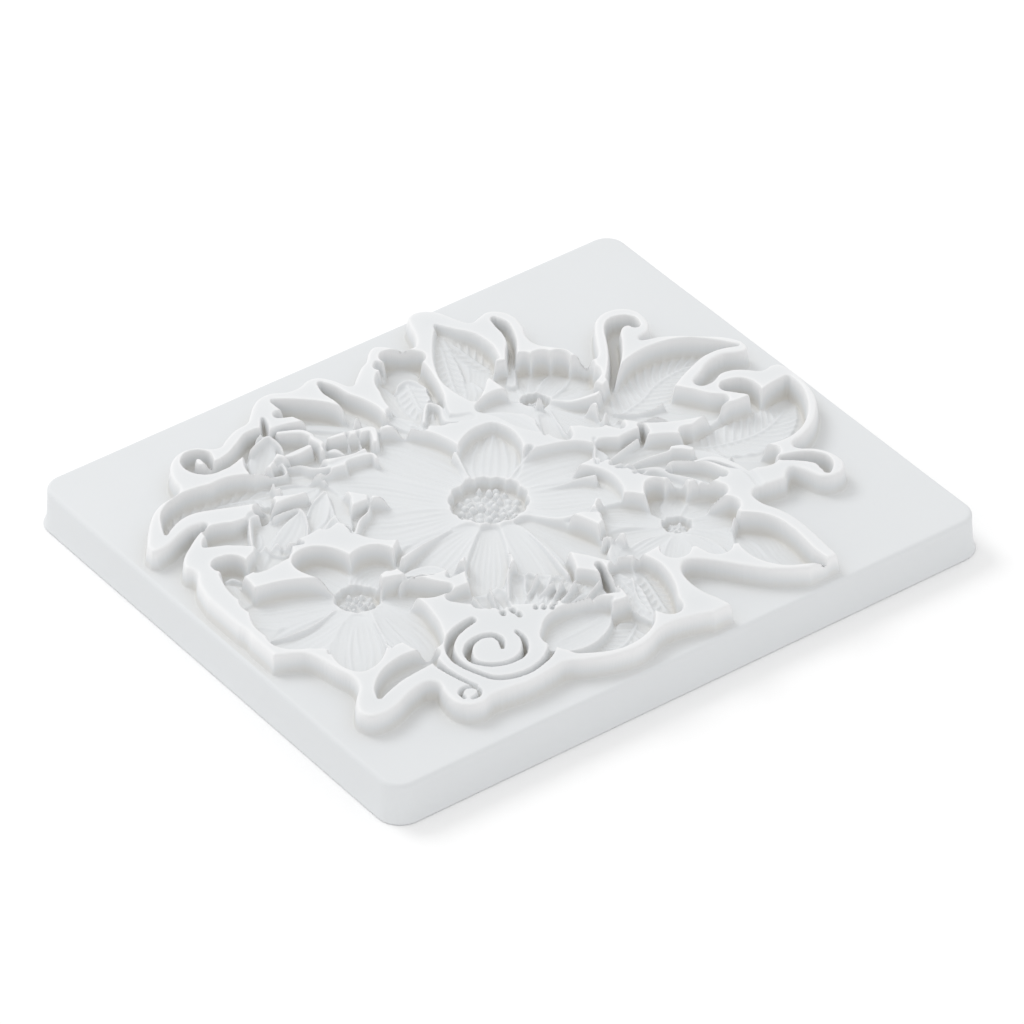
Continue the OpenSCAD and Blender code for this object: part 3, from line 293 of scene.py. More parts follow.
    ("wall", [(-15.9, 28.3, 0.6, 1), (-13.6, 27.5, 0.8, 0.7), (-11.4, 26.4, 0.9, 0.5), (-9.2, 25.3, 0.9, 0.3),
     (-10.6, 22.4, 0.7)]),
    ("wall", [(-12.9, 27.2, 0.35, 1.6), (-13.6, 25.7, 0.3, 2.2)]),
    ("wall", [(-11.4, 26.1, 0.35, 1.6), (-12.1, 24.3, 0.3, 2.2)]),
    ("wall", [(-17.5, 26.7, 0.6, 2.4), (-16.3, 26, 0.8, 2), (-15.5, 24.6, 0.5, 2.4)]),
    ("wall", [(-28.4, 33.1, 0.3, 0.4), (-25.8, 33.9, 0.4), (-23.8, 34.1, 0.4, 0.5), (-23.4, 31.7, 0.4, 0.8),
     (-23.8, 30.1, 0.35, 1.2)]),
    ("wall", [(-27.1, 27.3, 0.35, 1.4), (-26.1, 27.2, 0.5, 1), (-26.8, 25, 0.4, 1.4), (-29, 25.8, 0.5, 1.8),
     (-31.2, 27, 0.5, 2.2)]),
    ("wall", [(-25.7, 26.6, 0.3, 1.5), (-23.8, 25.3, 0.4, 1.2), (-22.6, 22.7, 0.5, 0.8),
     (-20.7, 21.2, 0.6, 0.4), (-17.3, 20.9, 0.6, 0.3), (-13.4, 20, 0.6), (-13.1, 18.5, 0.5, 0.4)]),
    ("wall", [(-23.3, 19.2, 0.5, 0.8), (-26.7, 22.7, 0.3, 1.8), (-30.1, 24.3, 0.3, 2.2)]),
    # left leaves
    ("vein", [(-40.7, 27.1, 1.2, 4), (-36.8, 26.2, 2.3), (-33.7, 24.2, 2.4, 3.6), (-32.2, 21, 1, 3)]),
    # left buds
    ("bed", [(-45.7, 17, 2, 3), (-41.7, 14.2, 3.4, 2.9), (-36.5, 13, 4.8, 2.8), (-30.5, 13.1, 4.4, 2.6),
     (-26.8, 12.6, 3.2, 2.4), (-27, 8.2, 1.6, 2.2)]),
    ("bed", [(-40.7, 7.8, 2.4, 2.8), (-43.8, 7.6, 1.8, 3), (-47.7, 6.4, 1)]),
    ("bed", [(-29.3, 21.9, 1.6, 2.8), (-26.7, 19.9, 2.4), (-25, 16.6, 2.4, 2.6), (-24.8, 12.7, 1.8, 2.4)]),
    ("bud", [(-46.6, 18.2, 1.2, 3.4), (-45, 16.3, 2.6), (-42.4, 14.6, 2.8, 3.2), (-39.8, 15.9, 1.2, 3)], 0.4),
    ("bud", [(-31.1, 15, 0.5, 1.6), (-33.2, 13.2, 2, 2.4), (-35.9, 11.5, 2.4, 2.9),
     (-38.4, 10.5, 1.6, 3.2)], 0.3),
    ("bud", [(-25.2, 16.9, 0.4, 1.4), (-26.8, 15.2, 1.7, 2.2), (-29.2, 12.8, 1.7, 2.7),
     (-31, 11.7, 0.8, 3)], -0.3),
    ("bud", [(-27.3, 10.9, 0.3, 1.4), (-28.6, 9.4, 1.2, 2.2), (-30.8, 8.4, 1, 2.6)], 0.3),
    ("chan", [(-34.4, 19, 0.9, 3.2), (-36.4, 18.5, 1.2, 4)]),
    ("bud", [(-38.5, 10.9, 0.3, 1.6), (-39.4, 10, 1, 2.4), (-41, 8.9, 0.9, 2.8)], 0.3),
    ("bud", [(-40.9, 11, 0.3, 1.6), (-42.1, 9.9, 1.1, 2.4), (-43.7, 8.5, 0.8, 2.8)], 0.3),
    ("bud", [(-40.5, 5.3, 0.4, 1.8), (-42, 6, 1.2, 2.6), (-44.8, 5.5, 1, 3), (-46.6, 5.2, 0.4)], 0.2),
    ("bud", [(-32.1, 20, 0.5, 2.4), (-29, 19.5, 1.4, 3), (-26, 19.4, 1.2, 2.8), (-23.8, 19.7, 0.3, 2.4)]),
    ("wall", [(-35.4, 16.4, 0.35, 1), (-33.1, 16.4, 0.35), (-30.8, 15.4, 0.35, 0.8), (-31.6, 12.2, 0.3, 1),
     (-34.3, 8.4, 0.35)]),
    ("wall", [(-37.4, 18, 0.5, 0.8), (-39.3, 17.5, 0.5, 0.6), (-42.7, 12, 0.4, 0.8),
     (-42.5, 10.8, 0.3, 1.2)]),
    ("wall", [(-24.8, 16.9, 0.3, 0.8), (-27.8, 16.2, 0.25, 1.6), (-30.2, 14.2, 0.25, 1.8)]),
    ("wall", [(-24.6, 16.7, 0.3, 0.8), (-25.3, 14.4, 0.25, 1.6), (-26.9, 11.4, 0.25, 1.4)]),
    ("wall", [(-27, 10.9, 0.3, 1), (-27.4, 8.9, 0.3, 1.4), (-26.8, 6.9, 0.3, 1), (-28.2, 4.3, 0.4, 0.8)]),
    ("wall", [(-38.8, 10.5, 0.25, 1.2), (-38.3, 9.1, 0.3, 1.6), (-36.5, 7.4, 0.3, 1.4)]),
    ("wall", [(-40.9, 10.9, 0.3, 1), (-40.5, 9.4, 0.25, 1.8), (-39.2, 7.9, 0.25, 2), (-36.4, 6.8, 0.3, 1.6)]),
    ("wall", [(-19.9, 11, 0.3, 0.8), (-22.1, 8.3, 0.4, 1), (-24.8, 7, 0.5), (-28, 3.8, 0.5, 0.6)]),
    # left eye
    ("chan", [(-50, 9.9, 1.7, 3.9), (-48.8, 9, 2.2), (-48.6, 7.1, 1.8, 3.8)]),
    ("bud", [(-50.6, 7.2, 1.4, 3.4), (-51.1, 4.2, 1.8, 3.2), (-51.4, 1.1, 1.7), (-50.9, -1.1, 1)], 0.2),
    ("wall", [(-50.2, 8.9, 0.45, 3), (-49, 8.7, 0.5, 2.8), (-48.3, 7.7, 0.45, 3)]),
    # left flower
    ("bed", [(-51.1, -3.4, 2.4, 3.2), (-50.5, -7.5, 4.6), (-47.9, -10.7, 6.4), (-43.6, -12.2, 8, 3.3),
     (-40.4, -14.7, 8.8), (-36.6, -17.7, 6.4, 3.2), (-34.8, -20.7, 4)]),
    ("petal", [(-31.5, -10.6, 1.6, 3.6), (-29.5, -12.7, 2.6, 3.9), (-27.3, -15.4, 2.2),
     (-24.8, -16.8, 1, 3.7)], 0.2),
    ("petal", [(-39.2, -6.8, 2.4, 3.4), (-42.7, -5.5, 4, 3.6), (-46.2, -4.2, 4.6), (-49.2, -2.7, 4),
     (-50.8, -1.5, 3), (-51.6, -0.3, 1.6, 3.5)], -0.2),
    ("petal", [(-34.9, -5.7, 2.2, 3.8), (-35.9, -1.5, 3.6, 4), (-37.3, 1.5, 3.6), (-39.1, 2.8, 1.6, 3.9)]),
    ("petal", [(-33.6, -5.9, 2.2, 3.8), (-31, -4, 3.4, 4), (-29, -3.9, 3.2), (-28.7, -6.3, 1.6, 3.9)]),
    ("petal", [(-34.6, -12.8, 2, 3.4), (-34.6, -16.9, 3.4, 3.6), (-34.8, -21.3, 4), (-35.3, -25.4, 3)], 0.2),
    ("petal", [(-40.6, -10.2, 2.4, 3.4), (-44.7, -11, 4.6, 3.6), (-48.7, -11.5, 5.2), (-51.4, -11.5, 4, 3.5),
     (-52.5, -11, 2.6, 3.4)], -0.2),
    ("wall", [(-37.1, -14.3, 0.25, 2.8), (-39.2, -20, 0.3, 2), (-40.8, -23.9, 0.5, 0.6)]),
    ("wall", [(-40.9, -11, 0.25, 2.8), (-44.9, -14.5, 0.3, 2.2), (-49.4, -19.3, 0.5, 0.6)]),
    ("wall", [(-40.3, -7.7, 0.2, 2.8), (-45.8, -9.1, 0.25, 2.4), (-50.1, -9.1, 0.3),
     (-53.3, -8.4, 0.3, 2.6)]),
    ("petal", [(-39, -12, 2, 3.6), (-41.1, -14.9, 3.6, 3.8), (-43.6, -18.7, 4.6), (-45.9, -22.1, 3.9, 3.6),
     (-47.3, -24.4, 2, 3.5)]),
    ("pit", [(-35.4, -6.9, 3.5, 5.4), (-35.3, -7, 3.6), (-35.1, -7.1, 3.5)]),
    ("wall", [(-29.3, -10.4, 0.4, 1.2), (-25.4, -10.5, 0.5, 1), (-24.3, -12.4, 0.5, 0.8)]),
    # main flower
    ("bud", [(-27.1, -8.7, 0.8, 1.8), (-24.4, -9, 1.6, 2.2), (-22.2, -10.1, 1.6),
     (-21.2, -12.6, 0.8, 2)], 0.2),
    ("bud", [(-22.4, -14.6, 0.6, 1.6), (-20.1, -13.8, 1.3, 2.2), (-19.1, -14.1, 0.8)], 0.2),
    # aster
    ("bed", [(-25, -19.5, 1.4, 2.2), (-21.3, -21.3, 3, 2.8), (-17, -23.5, 3.8, 3), (-12.1, -26.4, 3.8),
     (-6.8, -28.7, 3.2, 2.8), (-3.4, -31.6, 1.6, 2.6)]),
    ("tube", [(-20.6, -26.4, 0.5, 2.8), (-21.3, -24.5, 1.17, 3.5), (-22.7, -23.6, 1.3, 3.3),
     (-23.7, -23.9, 0.3, 2.6)], 0.3),
    ("tube", [(-20.2, -25.2, 0.5, 3), (-19.9, -22.5, 1.35, 3.65), (-20.3, -20.6, 1.5, 3.5),
     (-21.1, -20.8, 0.3, 2.6)], -0.3),
    ("tube", [(-18.2, -25.1, 0.5, 3.2), (-17.2, -22, 1.08, 3.8), (-17.1, -20, 1.2, 3.3),
     (-17.5, -19.8, 0.3, 2.6)], 0.3),
    ("tube", [(-17.1, -25, 0.5, 2.8), (-15.5, -22.2, 1.08, 3.5), (-14.4, -20.1, 1.2),
     (-14.7, -20.3, 0.3, 2.6)], -0.3),
    ("tube", [(-15.6, -25, 0.5, 3), (-13.5, -21.8, 1.35, 3.65), (-12.3, -19.6, 1.5, 3.3),
     (-12.3, -19.4, 0.3, 2.6)], 0.3),
    ("tube", [(-14, -25, 0.5, 3.2), (-11.7, -22.1, 1.08, 3.8), (-10, -20.2, 1.2, 3.5),
     (-10, -20.3, 0.3, 2.6)], -0.3),
    ("tube", [(-13.1, -26.4, 0.5, 2.8), (-10.5, -23.5, 1.08, 3.5), (-8.5, -21.6, 1.2, 3.3),
     (-8.3, -21.6, 0.3, 2.6)], 0.3),
    ("tube", [(-11.8, -27, 0.5, 3), (-9.2, -24.7, 0.99, 3.65), (-7.1, -23.2, 1.1, 3.5),
     (-7.1, -23.5, 0.3, 2.6)], -0.3),
    ("tube", [(-11.1, -28.1, 0.5, 3.2), (-8.4, -26.3, 1.08, 3.8), (-6.5, -25.6, 1.2, 3.3),
     (-6.2, -25.9, 0.3, 2.6)], 0.3),
    ("tube", [(-11.5, -29.6, 0.5, 2.8), (-8.4, -28.2, 0.99, 3.5), (-5.8, -27.5, 1.1),
     (-5.6, -28.1, 0.3, 2.6)], -0.3),
    ("tube", [(-11.6, -30.5, 0.5, 3), (-8, -30.1, 1.08, 3.65), (-5.2, -30.7, 1.2, 3.3),
     (-4.7, -31.5, 0.3, 2.6)], 0.3),
    ("tube", [(-11.7, -31.3, 0.5, 3.2), (-7.5, -31.7, 0.99, 3.8), (-3.9, -33, 1.1, 3.5),
     (-3.3, -34.3, 0.3, 2.6)], -0.3),
    ("wall", [(-22.4, -25.4, 0.22, 1.8), (-22.2, -23, 0.3, 1.2), (-22.1, -20.6, 0.35, 0.6)]),
    ("wall", [(-19.4, -23.2, 0.22, 1.8), (-19, -21.7, 0.3, 1.2), (-18.5, -20.2, 0.35, 0.6)]),
    ("wall", [(-16.7, -22.8, 0.22, 1.8), (-15, -20.5, 0.3, 1.2), (-13.4, -18.2, 0.35, 0.6)]),
    ("wall", [(-13.9, -24.1, 0.22, 1.8), (-12, -23, 0.3, 1.2), (-10.2, -21.8, 0.35, 0.6)]),
    ("wall", [(-12.3, -25.3, 0.22, 1.8), (-10.8, -25.2, 0.3, 1.2), (-9.3, -25, 0.35, 0.6)]),
    ("wall", [(-10.3, -26.8, 0.22, 1.8), (-9.2, -26.2, 0.3, 1.2), (-8, -25.7, 0.35, 0.6)]),
    ("wall", [(-9.4, -28.3, 0.22, 1.8), (-8, -27.7, 0.3, 1.2), (-6.5, -27.1, 0.35, 0.6)]),
    ("wall", [(-8.7, -31.3, 0.22, 1.8), (-6, -30.4, 0.3, 1.2), (-3.3, -29.5, 0.35, 0.6)]),
    ("wall", [(-7.5, -33, 0.22, 1.8), (-6.3, -34.1, 0.3, 1.2), (-5.1, -35.2, 0.35, 0.6)]),
    ("wall", [(-15.1, -27.5, 0.3, 1.9), (-15.5, -27.7, 0.3, 2)]),
    ("wall", [(-16.2, -29.6, 0.3, 1.9), (-16.5, -29.9, 0.3, 2)]),
    ("wall", [(-15.1, -29, 0.3, 1.9), (-15.5, -29.2, 0.3, 2)]),
    ("wall", [(-14.1, -28.3, 0.3, 1.9), (-14.4, -28.5, 0.3, 2)]),
    ("wall", [(-15.1, -30.4, 0.3, 1.9), (-15.5, -30.7, 0.3, 2)]),
    ("wall", [(-14.1, -29.8, 0.3, 1.9), (-14.4, -30, 0.3, 2)]),
    ("wall", [(-13, -29.1, 0.3, 1.9), (-13.4, -29.3, 0.3, 2)]),
    ("wall", [(-14.1, -31.2, 0.3, 1.9), (-14.4, -31.5, 0.3, 2)]),
    ("wall", [(-13, -30.6, 0.3, 1.9), (-13.4, -30.8, 0.3, 2)]),
    ("wall", [(-21, -25.9, 0.45, 1.4), (-21.1, -26.5, 0.35, 1.6)]),
    ("wall", [(-19.5, -26.2, 0.45, 1.4), (-19.6, -26.8, 0.35, 1.6)]),
    ("wall", [(-19.8, -28, 0.45, 1.4), (-19.9, -28.6, 0.35, 1.6)]),
    ("wall", [(-19.6, -29.4, 0.45, 1.4), (-19.7, -30, 0.35, 1.6)]),
    ("wall", [(-21.4, -27.6, 0.45, 1.4), (-21.6, -28.1, 0.35, 1.6)]),
    ("chan", [(-1.6, -26.9, 0.5, 3.8), (-2.1, -29.5, 0.6, 4), (-2.8, -32.2, 0.4, 3.8)]),
    # bottom leaf
    ("bed", [(-17.4, -37.6, 3, 3.4), (-15, -39.6, 4.2, 3.8), (-11.1, -41.1, 5.2, 4.2),
     (-6.8, -40.8, 4.6, 4.4), (-3.4, -39.3, 2.4)]),
    ("vein", [(-1.6, -37.4, 0.8, 4.2), (-3.9, -39.6, 2.8, 4.5), (-7.5, -41.8, 3.6), (-12.1, -42.5, 3.4, 4.4),
     (-16.6, -41.8, 2, 4.2)]),
    ("leaf", [(-18.2, -37.3, 2, 2.2), (-14.2, -36.6, 4.2, 2.8), (-9.6, -35.9, 3.2, 3), (-6.2, -35.4, 0.8)]),
    ("bed", [(1.4, -30, 2.6, 2.8), (1.1, -34.4, 3.4, 3), (0.7, -38.9, 3), (1, -42.5, 2)]),
    ("vein", [(4.5, -29.9, 1.2, 3), (4.1, -33.2, 2.2, 3.6), (3.1, -37.1, 2.2, 3.8), (2.2, -40.9, 1.2)], 0.3),
    ("vein", [(0.5, -29.1, 1, 2.4), (0.1, -33.1, 2, 2.8), (-0.9, -37, 1.8, 3), (-1.1, -40.5, 0.8)], -0.3),
    ("wall", [(1.9, -31.3, 0.3, 1.4), (0, -35.1, 0.25, 2), (-0.7, -39.3, 0.25, 2.4)]),
    ("bud", [(5.2, -22.2, 0.8, 2.2), (4.4, -24, 1.8, 2.8), (3.9, -25.9, 1.8, 3.4)], 0.2),
    ("bud", [(7.6, -24.5, 0.8, 2.4), (6.8, -25.9, 1.6, 3), (4.9, -26.7, 1.4, 3.4)], 0.2),
    # right leaf
    ("leaf", [(26.1, 6.7, 1.4, 3.2), (29.5, 5.1, 2.9, 3.6), (33.4, 3.3, 3.4, 3.8), (36.5, 0.5, 3),
     (39.1, -2.3, 2.2, 3.7), (41.9, -3.4, 1, 3.6)]),
    ("leaf", [(24.9, 4.4, 0.8, 2.8), (28.3, 0.7, 1.5, 3.2), (32.5, -2, 1.6), (36.7, -4, 1.2),
     (40.1, -5.1, 0.6, 3)]),
    ("vein", [(25.5, 6.5, 1.6, 4.2), (29.5, 7.4, 4), (34, 8.4, 5), (38, 10.2, 5), (42, 11.1, 4.3),
     (46, 11, 3), (50, 9.3, 1.3), (53.2, 6.9, 0.1)]),
    ("wall", [(27.7, 7.8, 0.25, 3), (30.2, 5.2, 0.3, 2.8), (33, 4.1, 0.3, 2.4), (34.9, 3.7, 0.3, 1.6)]),
    ("bed", [(53.9, -5.5, 0.6, 4.2), (51.3, -8.1, 3), (47.5, -10.9, 5), (43.7, -12, 6.3), (40.3, -11, 6, 4.1),
     (36.7, -10.1, 4.4, 4), (33.5, -8.9, 2.6, 3.8), (31.8, -6.9, 1.2, 3.6)]),
    ("vein", [(31.9, -7.5, 1, 3.4), (35, -9, 2.6, 3.9), (39.4, -10.1, 4.4, 4.2), (43.8, -10.5, 5, 4.3),
     (48.1, -9.6, 3.8), (52.3, -7.4, 1.8)]),
    # right sprig
    ("bed", [(18.4, -2.7, 2.6, 2.6), (22, -6.3, 3.6), (27.1, -9, 3.6, 2.8), (31.6, -13.3, 3),
     (33.2, -18, 2.2), (34.4, -20.5, 1.2)]),
    ("bed", [(20.2, -11.3, 1.6, 2.4), (24.1, -15.1, 1.8), (27.4, -18.8, 1.4, 2.2)]),
    ("bud", [(22.7, 4.3, 1, 3.6), (23.6, 3.1, 1.5, 3.8), (23.9, 1, 0.8, 3.6)]),
    ("chan", [(26.7, -1.1, 0.5, 3.2), (26.1, -2.9, 0.6, 3.4)]),
    ("bud", [(17.8, -0.8, 0.5, 1.4), (17.6, -2.5, 1.2, 1.8), (16.5, -4.3, 0.8)], 0.3),
    ("bud", [(17.3, -4.3, 0.5, 2.2), (21.7, -3.2, 1.4, 2.8), (25.1, -2.8, 1.2, 3)], 0.4),
    ("bud", [(16.6, -6.6, 0.5, 2), (21.1, -6.1, 1.3, 2.8), (25.1, -6.3, 1.2, 3),
     (27.6, -7.7, 0.6, 2.8)], 0.3),
    ("bud", [(18.5, -9.5, 0.5, 2.2), (22, -10.3, 1.4, 2.8), (24.4, -11.2, 0.7)], 0.2),
    ("bud", [(24.6, -12.9, 0.5, 2.4), (27.6, -15.8, 1.1, 2.8), (29.3, -19.7, 0.8)], 0.2),
    ("chan", [(35.4, -15.6, 1, 3.4), (37.6, -17.7, 1.6, 3.7), (39.5, -19.7, 1.3)]),
    ("wall", [(18.3, 0.6, 0.35, 0.4), (16, -2.5, 0.35, 0.6), (14.7, -5, 0.4, 0.8)]),
    ("wall", [(15.5, -5, 0.25, 1.2), (19.8, -4, 0.4, 0.9), (24.5, -3.1, 0.35, 0.4)]),
    ("wall", [(16.6, -7.9, 0.3, 1.2), (21.4, -7.7, 0.4, 1), (26.7, -8.9, 0.5, 0.7)]),
    ("wall", [(27.4, -8.7, 0.7, 0.4), (28.7, -9.7, 0.9, 0.3), (29.6, -10.8, 0.8, 0.4)]),
    ("wall", [(28.2, -13.7, 0.6, 0.7), (30.8, -15, 0.9, 0.5), (32.5, -18.2, 0.9), (33, -22.2, 0.7, 0.4),
     (32.3, -25.8, 0.8, 0.2)]),
    ("wall", [(17.2, -8.4, 0.3, 1.2), (22.1, -10.8, 0.5, 0.9), (23.3, -13.4, 0.4, 1), (25.3, -17.4, 0.4, 0.8),
     (26.7, -23.1, 0.5, 0.4)]),
    ("wall", [(18, -10.8, 0.3, 1.4), (21.6, -10.9, 0.35, 1.2), (23.7, -14.8, 0.3, 1.4),
     (25.1, -19.1, 0.3, 1.2)]),
    # right flower
    ("bed", [(9.3, -18.2, 3, 3.2), (12.2, -21.8, 5.4, 3.4), (15.6, -25.4, 6.6, 3.5), (19.2, -28.8, 5.6, 3.4),
     (21.6, -31.6, 3.6, 3.3)]),
    ("petal", [(17.7, -19.9, 1.4, 4), (18, -17.5, 2.2, 4.2), (18.7, -15.7, 1.8)]),
    ("petal", [(19.8, -20.6, 1.4, 4), (22.2, -20.9, 2.4, 4.2), (24.4, -21.3, 2.3), (25.9, -22.7, 1.6)]),
    ("petal", [(18.7, -20.1, 1.4, 4), (20.1, -18.3, 2.2, 4.2), (21.5, -17.4, 1.9)]),
    ("petal", [(19.4, -23.9, 1.2, 3.8), (22, -25.1, 2.3, 4), (24.8, -26.8, 2)]),
    ("petal", [(17.9, -25.8, 1.2, 3.6), (19.1, -28.9, 2.8, 3.8), (20.3, -32.6, 3, 3.6),
     (21.2, -34.5, 1.6, 3.4)], 0.2),
    ("petal", [(15.4, -20.9, 1.2, 3.6), (13.2, -17.8, 2.5), (10.3, -15.5, 2.5, 3.4), (8.4, -15, 1, 3)]),
    ("wall", [(15, -21.8, 0.25, 2.6), (9.7, -21.7, 0.4, 2), (4.1, -20.8, 0.5, 1)]),
    ("petal", [(14.5, -22.8, 1.2, 3.6), (11.4, -21.5, 2, 4), (7.7, -20.3, 2.3), (5.6, -19.4, 1, 3.8)]),
    ("petal", [(14, -24.8, 1.2, 3.4), (10.2, -25.5, 2.8, 3.5), (6.3, -26.2, 2.8, 3.3)], 0.2),
    ("petal", [(16.6, -26.8, 1.2, 3.4), (16.8, -30.5, 2.8, 3.5), (16.9, -34.3, 2.4, 3.3)], -0.2),
    ("petal", [(15.3, -25.9, 1.2, 3.5), (13.3, -28.4, 2.6, 3.7), (10.9, -31, 2.4, 3.5)]),
    ("wall", [(24, -29.9, 0.6, 0.6), (23.6, -31.7, 0.5, 0.8), (22.1, -33.7, 0.4, 1)]),
    ("pit", [(17.7, -22.3, 2.2, 5.4), (17.8, -22.4, 2.3), (17.9, -22.4, 2.2)]),
    # bottom right leaf
    ("leaf", [(24.5, -31.5, 1.6, 4.2), (24.9, -35, 3.7), (24.4, -38.5, 4.7), (24.8, -41.8, 4),
     (26.3, -44.9, 2.2), (28.6, -48.4, 0.1)]),
]

# Middle of each region and the weight that sets how far it reaches.
SEEDS = [
    ("left_leaves", -47, 20, 0), ("upper_left_scroll", -34, 33, 0), ("rose", -20, 27, 10),
    ("back_leaves", -12.5, 38, 20), ("bud_sprig", 1, 30, 40), ("top_leaf", 15, 36, 60),
    ("upper_flower", 19, 15, 85), ("cane_scroll", 41.5, 25, 0), ("right_leaf", 44, 9, 40),
    ("right_scroll", 47, -4, 0), ("lower_right_leaf", 45, -14, 0), ("lower_right_hook", 41, -26, 0),
    ("right_sprig", 24, -9, 30), ("right_flower", 16, -24, 70), ("bottom_right_leaf", 26, -42, 55),
    ("bottom_leaf", 1, -42, 60), ("aster", -12, -30, 10), ("spiral", -28, -35, 50),
    ("lower_left_leaf", -47, -34, 0), ("left_flower", -39, -11, 115), ("left_eye", -51.5, 6, 0),
    ("left_buds", -36, 12, 20), ("main_flower", -5, 0, 260),
]

xs = np.linspace(-FLAT_X, FLAT_X, NX * SUB + 1)
ys = np.linspace(-FLAT_Y, FLAT_Y, NY * SUB + 1)
GX, GY = np.meshgrid(xs, ys)
FROM_EDGE = np.minimum(FLAT_X - np.abs(GX), FLAT_Y - np.abs(GY))


def spline(points, gap, closed=False):
    """Points gap apart or closer on a smooth curve through the given ones."""
    p = np.array(points, float)
    n = len(p)
    out = []
    for i in range(n if closed else n - 1):
        a, b = p[i], p[(i + 1) % n]
        before = p[(i - 1) % n] if closed or i > 0 else a
        after = p[(i + 2) % n] if closed or i + 2 < n else b
        k = max(2, int(math.hypot(*(b - a)[:2]) / gap) + 1)
        for t in np.arange(k) / k:
            line = 2 * a + (b - before) * t
            bend = (2 * before - 5 * a + 4 * b - after) * t * t
            twist = (3 * a - before - 3 * b + after) * t**3
            out.append(0.5 * (line + bend + twist))
    if not closed:
        out.append(p[-1])
    return np.array(out)


def window(x0, x1, y0, y1):
    """The part of the fine grid that covers a box, as two slices."""
    i0, i1 = np.searchsorted(xs, [x0, x1])
    j0, j1 = np.searchsorted(ys, [y0, y1])
    return slice(max(j0 - 1, 0), min(j1 + 1, len(ys))), slice(max(i0 - 1, 0), min(i1 + 1, len(xs)))


def outline_distance(reach=2.5):
    """Distance inside the rim's outer edge (minus outside it), up to reach, and its direction."""
    p = spline(OUTLINE, OUTLINE_STEP, closed=True)
    far = np.full(GX.shape, reach)
    dx, dy = np.zeros(GX.shape), np.zeros(GX.shape)
    inside = np.zeros(GX.shape, bool)
    for a, b in zip(p, np.roll(p, -1, 0)):
        x_low, x_high = sorted((a[0], b[0]))
        y_low, y_high = sorted((a[1], b[1]))
        w = window(x_low - reach, x_high + reach, y_low - reach, y_high + reach)
        x, y = GX[w], GY[w]
        d = b - a
        t = np.clip(((x - a[0]) * d[0] + (y - a[1]) * d[1]) / (d @ d + 1e-12), 0, 1)
        ex, ey = x - a[0] - t * d[0], y - a[1] - t * d[1]
        r = np.hypot(ex, ey)
        near = r < far[w]
        far[w] = np.where(near, r, far[w])
        dx[w] = np.where(near, ex, dx[w])
        dy[w] = np.where(near, ey, dy[w])
        j0, j1 = np.searchsorted(ys, [y_low, y_high])
        if j1 > j0:
            cut = a[0] + (ys[j0:j1] - a[1]) / (b[1] - a[1]) * (b[0] - a[0])
            inside[j0:j1] ^= GX[j0:j1] > cut[:, None]
    sign = np.where(inside, 1.0, -1.0)
    size = np.maximum(np.hypot(dx, dy), 1e-9)
    return sign * far, sign * dx / size, sign * dy / size


class Stroke:
    """One swept patch: where it lies on the grid and, there, its distance and local places."""

    def __init__(self, kind, points, tilt=0):
        self.kind, self.tilt = kind, tilt
        full = []
        for point in points:
            full.append(point if len(point) == 4 else (*point, full[-1][3]))
        c = spline(full, LINE_STEP)
        self.line = c
        h = np.gradient(c[:, :2], axis=0)
        h /= np.maximum(np.hypot(h[:, 0], h[:, 1]), 1e-9)[:, None]
        along = np.concatenate([[0], np.cumsum(np.hypot(*np.diff(c[:, :2], axis=0).T))])
        m = c[:, 2].max() + 1.0
        self.w = window(c[:, 0].min() - m, c[:, 0].max() + m, c[:, 1].min() - m, c[:, 1].max() + m)
        x, y = GX[self.w], GY[self.w]
        flute = 1.0
        if kind == "pit":
            mid = c[len(c) // 2]
            ang = np.arctan2(y - mid[1], x - mid[0])
            folds = LARGE_FOLDS if mid[2] > LARGE_CENTRE else SMALL_FOLDS
            flute = 0.97 + 0.075 * np.abs(np.sin(ang * folds)) ** 0.8
        self.s = np.full(x.shape, -1e9)
        k = np.zeros(x.shape, int)
        for i, (cx, cy, r, _depth) in enumerate(c):
            s = r * flute - np.hypot(x - cx, y - cy)
            better = s > self.s
            self.s[better] = s[better]
            k[better] = i
        ex, ey = x - c[k, 0], y - c[k, 1]
        size = np.maximum(np.hypot(ex, ey), 1e-6)
        self.gx, self.gy = -ex / size, -ey / size
        self.along = along[k] + np.clip(ex * h[k, 0] + ey * h[k, 1], -0.2, 0.2)
        self.side = ex * -h[k, 1] + ey * h[k, 0]
        self.half = np.maximum(c[k, 2], 0.05)
        self.depth = np.interp(self.along, along, c[:, 3])
        self.t = self.along / max(along[-1], 1e-6)
        self.v = np.clip(self.side / self.half, -1.2, 1.2)
        self.x, self.y = x, y


def bump(x, width):
    return np.exp(-((x / width) ** 2))


def ease(u):
    """Smooth rise from 0 to 1."""
    return u * u * (3 - 2 * u)


